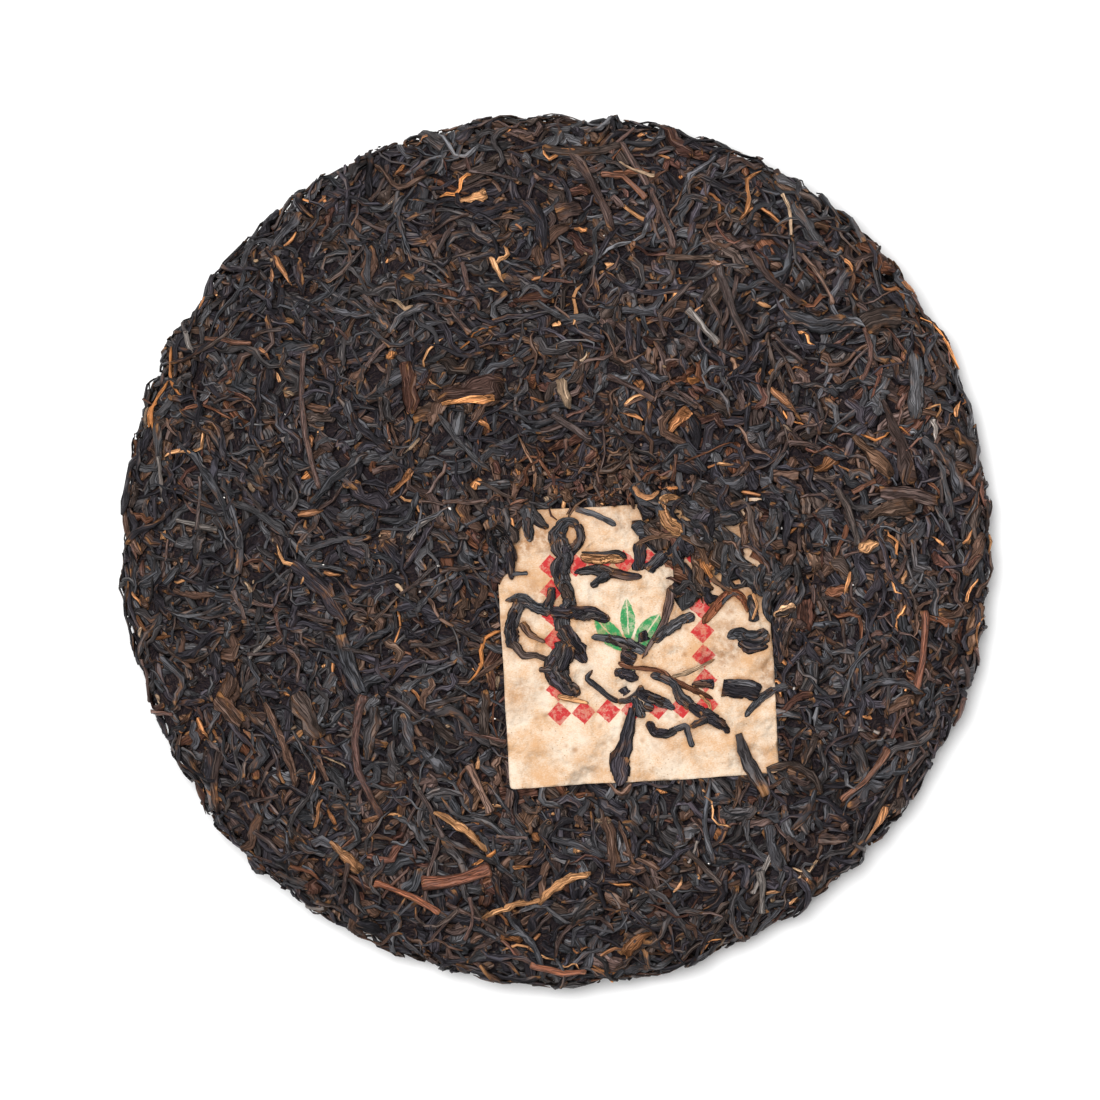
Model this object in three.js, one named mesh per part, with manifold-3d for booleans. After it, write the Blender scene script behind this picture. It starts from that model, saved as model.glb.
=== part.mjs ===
// A pressed pu erh tea cake, with a square paper ticket half buried in its face.
// Millimetres, +Z up. The origin lies under the cake's middle, on the surface that it rests on.
import * as THREE from "three";
import { mergeVertices } from "three/addons/utils/BufferGeometryUtils.js";
import Module from "manifold-3d";

const wasm = await Module();
wasm.setup();

// ---- driving dimensions ----

const RADIUS = 100; // to the widest line of the rim
const CROWN = 25; // thickness over the middle, from the resting surface
const SHOULDER = { r: 92, z: 15.3 }; // where the face turns down into the rim
const RIM_LEVEL = 8.6; // height of the widest line
const SKIRT = { r: 88, z: 1.7 }; // where the rim turns in under the cake
const FOOT = { inner: 36, outer: 68 }; // the flat ring that the cake rests on
const HOLLOW = { r: 20, z: 5.5, depth: 9 }; // the knot's hollow: a point on its wall, and its depth

const CORE_DEPTH = 0.8; // the core lies this far under the leaves' tops
const CORE_BUMP = 0.3; // unevenness of the core
const CORE_BANDS = [6, 3, 3, 2, 1, 2, 3]; // bands of its skin along each curve of the section
const CORE_SPOKES = 38;
const LEAF_ROOT = -1.9; // leaves reach this far down, into the core

const TICKET = { x: 18.4, y: -21.2, turn: 3.4, width: 61.8, length: 63.4, thick: 0.4 };
const TICKET_UNDER = -0.05; // level of its underside, from the pressed surface
const TICKET_CELLS = 10;
const CLEARANCE = 0.3; // between any two solids

const MAT = { radius: 30, leaves: 11, width: 6, top: 1.35 }; // leaves that bury the ticket's far corner

const RANDOM_SEED = 357;
const FACE_LEAVES = 44; // scattered leaves, beside the placed ones
const RIM_LEAVES = 30;
const UNDER_LEAVES = 18;

// Leaves that stand out on the face. Each row: from x, y, to x, y, bow to the left, width.
const PLACED_LEAVES = [
  [-58, 45, -54, 14, -1.4, 1.7],
  [-22, 80, -16, 82, 0, 3],
  [0, 77, 6, 79, 0, 4.6],
  [-7, 80, -3, 69, 1.6, 3.6],
  [15, 94, 27, 69, 0, 2.1],
  [3, 92, 13, 73, 2, 2.4],
  [-34, 43, -33, 31, 0, 4.2],
  [-12, 37, -27, 35, 0, 8.4],
  [1, 39, 3, 32, 0, 3],
  [25, 67, 36, 67, 0, 1.8],
  [37, 65, 44, 47, 0, 2.9],
  [44, 69, 57, 56, -1.5, 2.2],
  [54, 79, 61, 69, 0, 2.6],
  [82, 45, 82, 30, 0, 3.7],
  [70, 51, 79, 53, 0.8, 6],
  [52, 55, 66, 53, -1.4, 3],
  [49, 37, 55, 31, 0, 2.2],
  [-87, 25, -74, 5, 2, 2.3],
  [-43, 22, -56, 10, 0.6, 2.4],
  [-49, -19, -44, -33, 0, 3.8],
  [-60, -3, -48, -17, -0.8, 4],
  [68, 26, 77, 17, 0, 3.6],
  [74, 13, 88, 11, 0, 4],
  [70, 7, 82, 10, 0, 4.2],
  [74, 34, 81, 15, 1.9, 4],
  [84, 26, 93, 13, 2.2, 3.2],
  [-31, -77, -15, -73, -0.5, 4.2],
  [-17, -85, -3, -80, 0, 2.6],
  [-3, -80, 8, -74, 1.4, 3.4],
  [-28, -60, -16, -69, 0, 2.2],
  [-20, -49, -15, -60, 0, 2.3],
  [22, -88, 16, -94, 1, 4.2],
  [11, -61, 13, -74, 0.5, 2.6],
  [-44, -33, -40, -61, -3.6, 3],
  [-60, -33, -54, -43, 0, 5.6],
  [-67, -35, -60, -54, 0, 2.2],
  [-52, -67, -45, -74, 0, 4],
  [-79, -34, -72, -40, 0, 4.6],
  [85, -14, 83, -33, 0, 2.7],
  [69, -33, 85, -33, -3, 2.4],
  [77, -46, 66, -58, 0, 2],
  [49, -63, 52, -74, -0.8, 3],
  [-1, 31, 8, 25, 0, 2.7],
];

// Leaves that start in the cake and end on the ticket, rows as above.
const CROSSING_LEAVES = [
  [-9, 11.5, -2, 5, 0, 2.6],
  [-6.5, 11.5, -6.2, 2, 0, 2.4],
  [-15, 4, -9.9, -5, -0.5, 2.2],
  [52.5, -29, 43.3, -37.8, -0.8, 2.2],
  [49.5, -59, 40.6, -41.9, 0.7, 3.2],
  [53.5, -22, 39.2, -20, 0, 3.7],
  [1.5, 13, 13.5, 5.8, -0.6, 1.8],
];

// Leaves that lie wholly on the ticket, rows as above. Those that are stuck together are one piece.
const LEAVES_ON_TICKET = {
  leaf_clump_left: [
    [2.8, 7, 3.2, -15, -1.2, 4.2],
    [-6.2, -13, 12.6, -15.4, 0, 3.7],
    [-5.7, -12.6, -1.6, -25.4, -4.4, 2.2],
    [2, -14.5, 5.5, -26, 0.4, 4.2],
    [-3.9, -26, 5, -33.5, 0, 4.6],
    [4.6, -24, 0, -29.5, 0, 3.6],
  ],
  leaf_clump_middle: [
    [8.3, -19.5, 19.5, -23.1, 0, 2.3],
    [14.4, -23, 22.2, -29.8, 0, 4.6],
    [26.1, -8, 19, -25, 1.4, 2],
    [34, -14.5, 20, -21.5, 0, 2.8],
    [19, -25.4, 35.3, -33.5, 0.4, 2],
    [20.5, -28, 39.2, -41.5, 0.6, 2.2],
    [18.1, -30.2, 26.6, -35.8, 0, 2.8],
    [7.3, -27.5, 20.5, -29.6, -5, 1.5],
  ],
  leaf_tan: [[5.5, -0.4, 16, -2, 0, 2.5]],
  leaf_dark: [[4.6, -5, 22.5, -5.8, 0.4, 2.6]],
  leaf_bottom: [[16.9, -37.6, 14.9, -52.6, 0.5, 4.6]],
  leaf_curl: [[21.6, -39.4, 30.4, -45, 0.6, 2.1]],
  leaf_block: [[38.3, -31.6, 45.2, -32.3, 0, 3.6]],
};

// ---- numbers and surfaces ----

// A repeatable draw between low and high.
let seed = RANDOM_SEED;
function draw(low, high) {
  seed = (seed * 1664525 + 1013904223) % 4294967296;
  return low + ((high - low) * seed) / 4294967296;
}

// The section of the pressed surface, as (r, z), from the crown round the rim to the hollow.
function sectionPath() {
  const path = new THREE.Path();
  path.moveTo(0, CROWN);
  path.bezierCurveTo(0.48 * RADIUS, CROWN, 0.78 * RADIUS, 21.3, SHOULDER.r, SHOULDER.z);
  path.bezierCurveTo(97, 13.2, RADIUS, 11.7, RADIUS, RIM_LEVEL);
  path.bezierCurveTo(RADIUS, 5, 95, 3.3, SKIRT.r, SKIRT.z);
  path.bezierCurveTo(81, 0.3, 75, 0, FOOT.outer, 0);
  path.lineTo(FOOT.inner, 0);
  path.bezierCurveTo(29, 0, 25, 2.7, HOLLOW.r, HOLLOW.z);
  path.bezierCurveTo(14, 8.6, 8, HOLLOW.depth, 0, HOLLOW.depth);
  return path;
}

const SECTION_STEPS = 500;
const sectionCurves = sectionPath();
const section = sectionCurves.getSpacedPoints(SECTION_STEPS);
const sectionLength = sectionCurves.getLength();

// The point on the section at a distance from the crown, and the way out of the cake there.
function sectionAt(distance) {
  const place = THREE.MathUtils.clamp(distance / sectionLength, 0, 1) * SECTION_STEPS;
  const step = Math.min(Math.floor(place), SECTION_STEPS - 1);
  const point = section[step].clone().lerp(section[step + 1], place - step);
  const along = section[step + 1].clone().sub(section[step]).normalize();
  return { r: point.x, z: point.y, outR: -along.y, outZ: along.x };
}

// Slow unevenness of the pressed surface, which dies out at the foot.
function sway(x, y, z) {
  const waves = 0.4 * Math.sin(x / 11 + 1.3) * Math.cos(y / 13 - 0.4) + 0.35 * Math.sin(x / 23 - y / 17 + 2);
  return waves * THREE.MathUtils.smoothstep(z, 1, 8);
}

// A point at a height over the pressed surface. Seen from its own side, the face is a flat map with x and y
// measured along the surface from its middle. The map is wide enough to go on round the rim.
function onSurface(face, x, y, height) {
  const distance = Math.hypot(x, y);
  const angle = face === "top" ? Math.atan2(y, x) : -Math.atan2(y, x);
  const s = sectionAt(face === "top" ? distance : sectionLength - distance);
  const lift = height + sway(s.r * Math.cos(angle), s.r * Math.sin(angle), s.z);
  const r = s.r + lift * s.outR;
  return new THREE.Vector3(r * Math.cos(angle), r * Math.sin(angle), s.z + lift * s.outZ);
}

// ---- shapes ----

// A closed slab of columns by rows cells, both faces split alike. place(u, v, side) gives each corner, where u and
// v run from 0 to 1, and side is 1 on the upper face and -1 on the lower.
function slab(columns, rows, place) {
  const sheet = (columns + 1) * (rows + 1);
  const at = (i, j, upper) => (upper ? sheet : 0) + j * (columns + 1) + i;
  const corners = [];
  for (const side of [-1, 1])
    for (let j = 0; j <= rows; j++)
      for (let i = 0; i <= columns; i++) corners.push(place(i / columns, j / rows, side));
  const faces = [];
  for (let j = 0; j < rows; j++)
    for (let i = 0; i < columns; i++)
      for (const upper of [true, false]) {
        const [a, b, c, d] = [at(i, j, upper), at(i + 1, j, upper), at(i + 1, j + 1, upper), at(i, j + 1, upper)];
        if (upper) faces.push(a, b, c, a, c, d);
        else faces.push(a, c, b, a, d, c);
      }
  const edge = [];
  for (let i = 0; i < columns; i++) edge.push([i, 0]);
  for (let j = 0; j < rows; j++) edge.push([columns, j]);
  for (let i = columns; i > 0; i--) edge.push([i, rows]);
  for (let j = rows; j > 0; j--) edge.push([0, j]);
  edge.forEach(([i, j], k) => {
    const [m, n] = edge[(k + 1) % edge.length];
    faces.push(at(i, j, false), at(m, n, false), at(m, n, true));
    faces.push(at(i, j, false), at(m, n, true), at(i, j, true));
  });
  return new THREE.BufferGeometry().setFromPoints(corners).setIndex(faces);
}

function solidOf(geometry) {
  return new wasm.Manifold(
    new wasm.Mesh({
      numProp: 3,
      vertProperties: new Float32Array(geometry.getAttribute("position").array),
      triVerts: new Uint32Array(geometry.index.array),
    }),
  );
}

// Where a leaf's middle line runs on the flat map, bowed to the left of its way by bow.
function leafLine([x1, y1, x2, y2, bow]) {
  const from = new THREE.Vector2(x1, y1);
  const to = new THREE.Vector2(x2, y2);
  const left = to.clone().sub(from).normalize().rotateAround(new THREE.Vector2(), Math.PI / 2);
  const pull = from.clone().lerp(to, 0.5).addScaledVector(left, 2 * bow);
  return new THREE.QuadraticBezierCurve(from, pull, to);
}

// A leaf pressed into the cake: its ends are narrow and dip, its two edges rise and fall in turn.
// bottom and top are levels over the pressed surface. grow makes it larger all round.
function leaf(row, { face = "top", bottom = LEAF_ROOT, top = 0.35, dip = 0.9, twist = 0.22, cells = 3, grow = 0 }) {
  const line = leafLine(row);
  const width = row[5];
  const reach = grow / line.getLength();
  return slab(cells, 1, (u, v, side) => {
    const t = -reach + u * (1 + 2 * reach);
    const inside = THREE.MathUtils.clamp(t, 0, 1);
    const overrun = (t - inside) * line.getLength();
    const way = line.getTangent(inside);
    const point = line.getPoint(inside).addScaledVector(way, overrun);
    const end = Math.pow(Math.abs(2 * inside - 1), 3);
    const half = (width / 2) * (1 - 0.55 * end) + grow;
    const across = 2 * v - 1;
    const slope = twist * across * Math.sin(5 * inside + width);
    const level = side > 0 ? top - dip * end + slope + grow : bottom - grow;
    return onSurface(face, point.x - way.y * half * across, point.y + way.x * half * across, level);
  });
}

// ---- the ticket and what lies on it ----

const ticketTurn = THREE.MathUtils.degToRad(TICKET.turn);

// A place on the ticket, from its middle along its own edges, on the face's flat map.
function onTicket(along, up) {
  const spot = new THREE.Vector2(along, up).rotateAround(new THREE.Vector2(), ticketTurn);
  return spot.add(new THREE.Vector2(TICKET.x, TICKET.y));
}

// The paper's own waves, in the way the leaves under it have pressed it.
function paperWave(x, y) {
  return 0.16 * Math.sin(x / 4.3 + 0.5) * Math.sin(y / 5.1) + 0.1 * Math.sin((x + y) / 7.7);
}

function ticket(grow) {
  return slab(TICKET_CELLS, TICKET_CELLS, (u, v, side) => {
    const spot = onTicket((u - 0.5) * (TICKET.width + 2 * grow), (v - 0.5) * (TICKET.length + 2 * grow));
    const level = TICKET_UNDER + paperWave(spot.x, spot.y) + (side > 0 ? TICKET.thick + grow : -grow);
    return onSurface("top", spot.x, spot.y, level);
  });
}

// Packed leaves under the paper, which carry it once the ticket's own room is cut out of them.
function ticketBed() {
  const inset = 2;
  const cells = 5;
  return slab(cells, cells, (u, v, side) => {
    const spot = onTicket((u - 0.5) * (TICKET.width - 2 * inset), (v - 0.5) * (TICKET.length - 2 * inset));
    return onSurface("top", spot.x, spot.y, side > 0 ? TICKET_UNDER + TICKET.thick / 2 : LEAF_ROOT);
  });
}

function coversTicket(x, y, margin) {
  const spot = new THREE.Vector2(x - TICKET.x, y - TICKET.y).rotateAround(new THREE.Vector2(), -ticketTurn);
  return Math.abs(spot.x) < TICKET.width / 2 + margin && Math.abs(spot.y) < TICKET.length / 2 + margin;
}

// Rows of the leaves that bury the ticket's far corner: they start in the cake beside its two edges and end
// on a ragged arc round the corner.
function matRows() {
  const rows = [];
  const outside = 3;
  for (let k = 0; k < MAT.leaves; k++) {
    const share = k / (MAT.leaves - 1);
    const alongTop = Math.max(0, 1 - 2 * share);
    const downSide = Math.max(0, 2 * share - 1);
    const start = onTicket(
      TICKET.width / 2 + outside - alongTop * MAT.radius,
      TICKET.length / 2 + outside - downSide * MAT.radius,
    );
    const angle = Math.PI * (1.03 + 0.44 * share);
    const radius = MAT.radius + draw(-2.5, 2.5);
    const end = onTicket(
      TICKET.width / 2 + radius * Math.cos(angle),
      TICKET.length / 2 + radius * Math.sin(angle),
    );
    rows.push([start.x, start.y, end.x, end.y, draw(-1.5, 1.5), MAT.width * draw(0.8, 1.2)]);
  }
  return rows;
}

const onPaper = { bottom: TICKET_UNDER + TICKET.thick + CLEARANCE + 0.16, top: 1.55, dip: 0.35, cells: 6 };

// Leaves on the ticket that stick to each other, as one solid.
function clump(rows, grow) {
  const solids = rows.map((row) => solidOf(leaf(row, { ...onPaper, grow })));
  return wasm.Manifold.union(solids);
}

// ---- the cake ----

// Distances along the section, from the crown, of the round lines on the core's skin.
function coreStations() {
  const stations = [0];
  const ends = sectionCurves.getCurveLengths();
  ends.forEach((end, curve) => {
    const start = curve === 0 ? 0 : ends[curve - 1];
    const bands = CORE_BANDS[curve];
    for (let k = 1; k <= bands; k++) stations.push(start + ((end - start) * k) / bands);
  });
  return stations;
}

// The packed inside, a turned body with a lumpy skin.
function core() {
  const profile = coreStations().map((distance) => {
    const s = sectionAt(distance);
    const depth = CORE_DEPTH * THREE.MathUtils.smoothstep(s.z, 0, 1.5);
    const onAxis = distance === 0 || distance === sectionLength;
    return new THREE.Vector2(onAxis ? 0 : s.r - depth * s.outR, s.z - depth * s.outZ);
  });
  const turned = new THREE.LatheGeometry(profile.reverse(), CORE_SPOKES).rotateX(Math.PI / 2);
  turned.deleteAttribute("normal");
  turned.deleteAttribute("uv");
  const skin = mergeVertices(turned, 1e-3);
  const place = skin.getAttribute("position");
  for (let k = 0; k < place.count; k++) {
    const [x, y, z] = [place.getX(k), place.getY(k), place.getZ(k)];
    const lift = sway(x, y, z) + draw(-CORE_BUMP, CORE_BUMP) * THREE.MathUtils.smoothstep(z, 1, 3);
    const rim = THREE.MathUtils.smoothstep(Math.hypot(x, y), 0.9 * RADIUS, 0.98 * RADIUS);
    const out = 1 + (rim * lift) / RADIUS;
    place.setXYZ(k, x * out, y * out, z + (1 - rim) * lift);
  }
  return skin;
}

// Even, jittered places on a round map, from a spiral that turns by the golden angle.
function spiral(count, inner, outer) {
  const turn = Math.PI * (3 - Math.sqrt(5));
  return Array.from({ length: count }, (_, k) => {
    const share = (k + draw(0.1, 0.9)) / count;
    return {
      distance: Math.sqrt(inner * inner + (outer * outer - inner * inner) * share),
      angle: k * turn + draw(-0.1, 0.1),
    };
  });
}

// A leaf of common size at a place on a map. Towards the rim, leaves lie along it.
function scatteredRow({ distance, angle }, alongRim) {
  const length = draw(9, 19);
  const heading = angle + Math.PI / 2 + draw(-1, 1) * (alongRim ? 0.5 : Math.PI / 2);
  const [x, y] = [distance * Math.cos(angle), distance * Math.sin(angle)];
  const [dx, dy] = [(Math.cos(heading) * length) / 2, (Math.sin(heading) * length) / 2];
  return [x - dx, y - dy, x + dx, y + dy, draw(-0.14, 0.14) * length, draw(1.9, 3.6)];
}

function clearOfTicket(row) {
  const line = leafLine(row);
  return [0, 0.25, 0.5, 0.75, 1].every((t) => {
    const point = line.getPoint(t);
    return !coversTicket(point.x, point.y, 1 + row[5] / 2);
  });
}

// All the leaves that show on the cake, as slabs that reach into its core.
function cakeLeaves() {
  const rimStart = 90;
  const rimEnd = 112;
  const face = [
    ...PLACED_LEAVES,
    ...spiral(FACE_LEAVES, 4, rimStart).map((spot) => scatteredRow(spot, spot.distance > 78)),
    ...spiral(RIM_LEAVES, rimStart, rimEnd).map((spot) => scatteredRow(spot, true)),
  ].filter(clearOfTicket);
  const underSpots = [
    ...spiral(Math.round(UNDER_LEAVES * 0.3), 3, 32),
    ...spiral(Math.round(UNDER_LEAVES * 0.7), 78, 96),
  ];
  const under = underSpots.map((spot) => scatteredRow(spot, spot.distance > 60));
  return [
    ...face.map((row) => leaf(row, { top: draw(0.1, 0.55) })),
    ...under.map((row) => leaf(row, { face: "under", top: draw(0.1, 0.4) })),
    ...CROSSING_LEAVES.map((row) => leaf(row, { top: 1.6, dip: 0.5, cells: 5 })),
    ...matRows().map((row) => leaf(row, { top: MAT.top + draw(-0.15, 0.25), dip: 0.35, cells: 5 })),
  ];
}

// The largest piece of a solid: what a cut sets loose is dropped.
function largest(solid) {
  return solid.decompose().reduce((a, b) => (a.volume() > b.volume() ? a : b));
}

function cake() {
  const body = wasm.Manifold.union([core(), ticketBed(), ...cakeLeaves()].map(solidOf));
  const below = solidOf(mergedBox(3 * RADIUS, 3 * RADIUS, 20).translate(0, 0, -10));
  const taken = [
    below,
    solidOf(ticket(CLEARANCE)),
    ...Object.values(LEAVES_ON_TICKET).map((rows) => clump(rows, CLEARANCE)),
  ];
  return largest(body.subtract(wasm.Manifold.union(taken)));
}

function mergedBox(...size) {
  const box = new THREE.BoxGeometry(...size);
  box.deleteAttribute("normal");
  box.deleteAttribute("uv");
  return mergeVertices(box);
}

// ---- the scene graph ----

const teaFinish = new THREE.MeshStandardMaterial({ color: 0x40342f, roughness: 0.6, metalness: 0 });
const looseLeafFinish = new THREE.MeshStandardMaterial({ color: 0x29241f, roughness: 0.6, metalness: 0 });
const paperFinish = new THREE.MeshStandardMaterial({ color: 0xe9cca6, roughness: 0.85, metalness: 0 });

function named(name, geometry, material) {
  const mesh = new THREE.Mesh(geometry, material);
  mesh.name = name;
  return mesh;
}

function geometryOf(solid) {
  const { vertProperties, triVerts } = solid.getMesh();
  return new THREE.BufferGeometry()
    .setAttribute("position", new THREE.BufferAttribute(vertProperties, 3))
    .setIndex(new THREE.BufferAttribute(triVerts, 1));
}

const teaCake = new THREE.Group();
teaCake.add(named("cake", geometryOf(cake()), teaFinish));
teaCake.add(named("ticket", ticket(0), paperFinish));
for (const [name, rows] of Object.entries(LEAVES_ON_TICKET))
  teaCake.add(named(name, geometryOf(clump(rows, 0)), looseLeafFinish));

export default teaCake;
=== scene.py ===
import math

import bpy
import numpy as np
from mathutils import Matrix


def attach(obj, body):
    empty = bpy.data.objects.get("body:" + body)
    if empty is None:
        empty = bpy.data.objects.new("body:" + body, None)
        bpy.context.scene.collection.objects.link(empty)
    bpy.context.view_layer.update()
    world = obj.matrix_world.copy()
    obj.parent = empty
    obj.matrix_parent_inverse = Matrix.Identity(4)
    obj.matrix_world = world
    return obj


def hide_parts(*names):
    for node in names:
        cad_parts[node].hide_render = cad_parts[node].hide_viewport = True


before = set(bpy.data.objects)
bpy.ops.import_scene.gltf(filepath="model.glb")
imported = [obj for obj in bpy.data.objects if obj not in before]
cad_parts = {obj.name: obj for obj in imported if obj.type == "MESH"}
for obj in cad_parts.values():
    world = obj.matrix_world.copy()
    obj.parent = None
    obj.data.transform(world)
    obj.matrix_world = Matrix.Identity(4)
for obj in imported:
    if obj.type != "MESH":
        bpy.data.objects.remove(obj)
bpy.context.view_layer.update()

# lengths here are in millimetres, and become metres when a mesh is written
mm = 0.001
rng = np.random.default_rng(2357)

form = {
    "radius": 100,
    "crown": 25,  # thickness over the middle
    "shoulder": (92, 15.3),  # where the face turns down into the rim: r, z
    "rimLevel": 8.6,
    "skirt": (88, 1.7),
    "foot": (36, 68),  # the flat ring underneath, inner and outer
    "hollow": (20, 5.5),  # a point on the knot hollow's wall
    "hollowDepth": 9,
    # where the rim stands out or in: degrees round it, how many it spreads over, and how far
    "bulges": [
        (32, 28, 1.2), (62, 16, 1.0), (90, 10, -0.9), (112, 8, 0.7), (172, 7, -0.7), (187, 5, 0.8),
        (201, 9, -1.6), (255, 14, -0.7), (315, 26, -1.0), (348, 12, -0.7),
    ],
    "bulgeFrom": 70,  # the face keeps its shape within this radius
}


def bezier(a, b, c, d, steps=90):
    t = np.linspace(0, 1, steps)[:, None]
    a, b, c, d = (np.array(point, float) for point in (a, b, c, d))
    return (1 - t) ** 3 * a + 3 * (1 - t) ** 2 * t * b + 3 * (1 - t) * t**2 * c + t**3 * d


def sectionPoints(f):
    radius, rim = f["radius"], f["rimLevel"]
    inner, outer = f["foot"]
    curves = [
        bezier((0, f["crown"]), (0.48 * radius, f["crown"]), (0.78 * radius, 21.3), f["shoulder"]),
        bezier(f["shoulder"], (97, 13.2), (radius, 11.7), (radius, rim)),
        bezier((radius, rim), (radius, 5), (95, 3.3), f["skirt"]),
        bezier(f["skirt"], (81, 0.3), (75, 0), (outer, 0)),
        bezier((outer, 0), (outer - 8, 0), (inner + 8, 0), (inner, 0)),
        bezier((inner, 0), (29, 0), (25, 2.7), f["hollow"]),
        bezier(f["hollow"], (14, 8.6), (8, f["hollowDepth"]), (0, f["hollowDepth"])),
    ]
    return np.vstack([curves[0]] + [curve[1:] for curve in curves[1:]])


section = sectionPoints(form)
steps = np.linalg.norm(np.diff(section, axis=0), axis=1)
station = np.concatenate([[0], np.cumsum(steps)])  # distance along the section from the crown
sectionLength = station[-1]
along = np.gradient(section, station, axis=0)
along /= np.linalg.norm(along, axis=1)[:, None]


def smoothstep(x, low, high):
    t = np.clip((x - low) / (high - low), 0, 1)
    return t * t * (3 - 2 * t)


def sway(x, y, z):
    # slow unevenness of the pressed surface, which dies out at the foot
    waves = 0.4 * np.sin(x / 11 + 1.3) * np.cos(y / 13 - 0.4) + 0.35 * np.sin(x / 23 - y / 17 + 2)
    return waves * smoothstep(z, 1, 8)


def rimBulge(angle):
    # how far the rim stands out, at an angle round it
    turn = np.degrees(angle)
    out = 0 * turn
    for at, wide, much in form["bulges"]:
        away = (turn - at + 180) % 360 - 180
        out = out + much * np.exp(-((away / wide) ** 2))
    return out


def onSurface(face, x, y, height):
    # a flat map of each face, with distances measured along the surface from its middle
    distance = np.hypot(x, y)
    angle = np.arctan2(y, x) if face == "top" else -np.arctan2(y, x)
    s = np.clip(distance if face == "top" else sectionLength - distance, 0, sectionLength)
    r, z = np.interp(s, station, section[:, 0]), np.interp(s, station, section[:, 1])
    outR = -np.interp(s, station, along[:, 1])
    outZ = np.interp(s, station, along[:, 0])
    lift = height + sway(r * np.cos(angle), r * np.sin(angle), z)
    r = r + lift * outR + rimBulge(angle) * smoothstep(r, form["bulgeFrom"], form["radius"])
    z = np.maximum(z + lift * outZ, 0)
    return np.stack([r * np.cos(angle), r * np.sin(angle), z], axis=1)


def linear(code):
    # the linear colour of a screen colour such as "3a2b20"
    values = [int(code[k : k + 2], 16) / 255 for k in (0, 2, 4)]
    return tuple(v / 12.92 if v <= 0.04045 else ((v + 0.055) / 1.055) ** 2.4 for v in values) + (1.0,)


class Wire:
    def __init__(self, paint, socket):
        self.paint, self.socket = paint, socket

    def of(self, output):
        return Wire(self.paint, self.socket.node.outputs[output])

    def __add__(self, other):
        return self.paint.maths("ADD", self, other)

    __radd__ = __add__

    def __sub__(self, other):
        return self.paint.maths("SUBTRACT", self, other)

    def __rsub__(self, other):
        return self.paint.maths("SUBTRACT", other, self)

    def __mul__(self, other):
        return self.paint.maths("MULTIPLY", self, other)

    __rmul__ = __mul__

    def __truediv__(self, other):
        return self.paint.maths("DIVIDE", self, other)

    def __pow__(self, other):
        return self.paint.maths("POWER", self, other)


class Paint:
    def __init__(self, name):
        self.material = bpy.data.materials.new(name)
        self.material.use_nodes = True
        self.tree = self.material.node_tree
        self.tree.nodes.clear()

    def node(self, kind, settings=None, sockets=None, output=0):
        made = self.tree.nodes.new(kind)
        for key, value in (settings or {}).items():
            if key == "stops":
                ramp = made.color_ramp
                while len(ramp.elements) < len(value):
                    ramp.elements.new(0.5)
                for element, (place, colour) in zip(ramp.elements, value):
                    element.position, element.color = place, colour
            else:
                setattr(made, key, value)
        for key, value in (sockets or {}).items():
            if isinstance(value, Wire):
                self.tree.links.new(value.socket, made.inputs[key])
            else:
                made.inputs[key].default_value = value
        return None if output is None else Wire(self, made.outputs[output])

    def maths(self, operation, first, second=0.0):
        return self.node("ShaderNodeMath", {"operation": operation}, {0: first, 1: second})

    def vectors(self, operation, first, second, output=0):
        return self.node("ShaderNodeVectorMath", {"operation": operation}, {0: first, 1: second}, output)

    def stretch(self, vector, much):
        # a vector or a colour, made larger or smaller all over
        return self.node("ShaderNodeVectorMath", {"operation": "SCALE"}, {0: vector, "Scale": much})

    def between(self, value, low, high):
        # 0 below low, 1 above high, smooth on the way
        sockets = {"Value": value, "From Min": low, "From Max": high}
        return self.node("ShaderNodeMapRange", {"interpolation_type": "SMOOTHSTEP"}, sockets)

    def blend(self, share, first, second, mode="MIX"):
        settings = {"data_type": "RGBA", "blend_type": mode}
        return self.node("ShaderNodeMix", settings, {0: share, 6: first, 7: second}, 2)

    def scaled(self, vector, size, shift=(0, 0, 0)):
        return self.node("ShaderNodeMapping", None, {"Vector": vector, "Location": shift, "Scale": size})

    def noise(self, vector, scale, detail=2.0, rough=0.5, output=0):
        sockets = {"Vector": vector, "Scale": scale, "Detail": detail, "Roughness": rough}
        return self.node("ShaderNodeTexNoise", None, sockets, output)

    def cells(self, vector, scale, output=0):
        sockets = {"Vector": vector, "Scale": scale}
        return self.node("ShaderNodeTexVoronoi", {"feature": "F1"}, sockets, output)

    def attribute(self, name, output="Vector"):
        return self.node("ShaderNodeAttribute", {"attribute_name": name}, None, output)

    def finish(self, colour, roughness, height, depth, gloss):
        # depth is how far the bumps stand out, in millimetres
        relief = {"Height": height, "Distance": depth * mm, "Strength": 1.0}
        sockets = {"Base Color": colour, "Roughness": roughness, "Specular IOR Level": gloss}
        sockets["Normal"] = self.node("ShaderNodeBump", None, relief)
        shader = self.node("ShaderNodeBsdfPrincipled", None, sockets)
        self.node("ShaderNodeOutputMaterial", None, {"Surface": shader}, None)
        return self.material


leafFinish = {
    "ridges": (0.1, 1.6, 1),  # folds along a leaf, for each millimetre along and across it
    "fibres": (0.3, 4.6, 1),
    "patches": (0.16, 0.3, 1),
    "speckles": (1.5, 2.2, 1),
    "hollowTint": (1.07, 0.98, 0.94),  # the hollows between the folds are browner, and the ridges keep the cooler tone: painted sheen on the ridges
    "foldDepth": 0.4,
    # a dusty grey painted on the raised ridges as their highlight
    "dustySheen": "877b72",
    "rust": "865734",
    "rustDark": "493425",
    "tip": "b27d4c",
}


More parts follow.
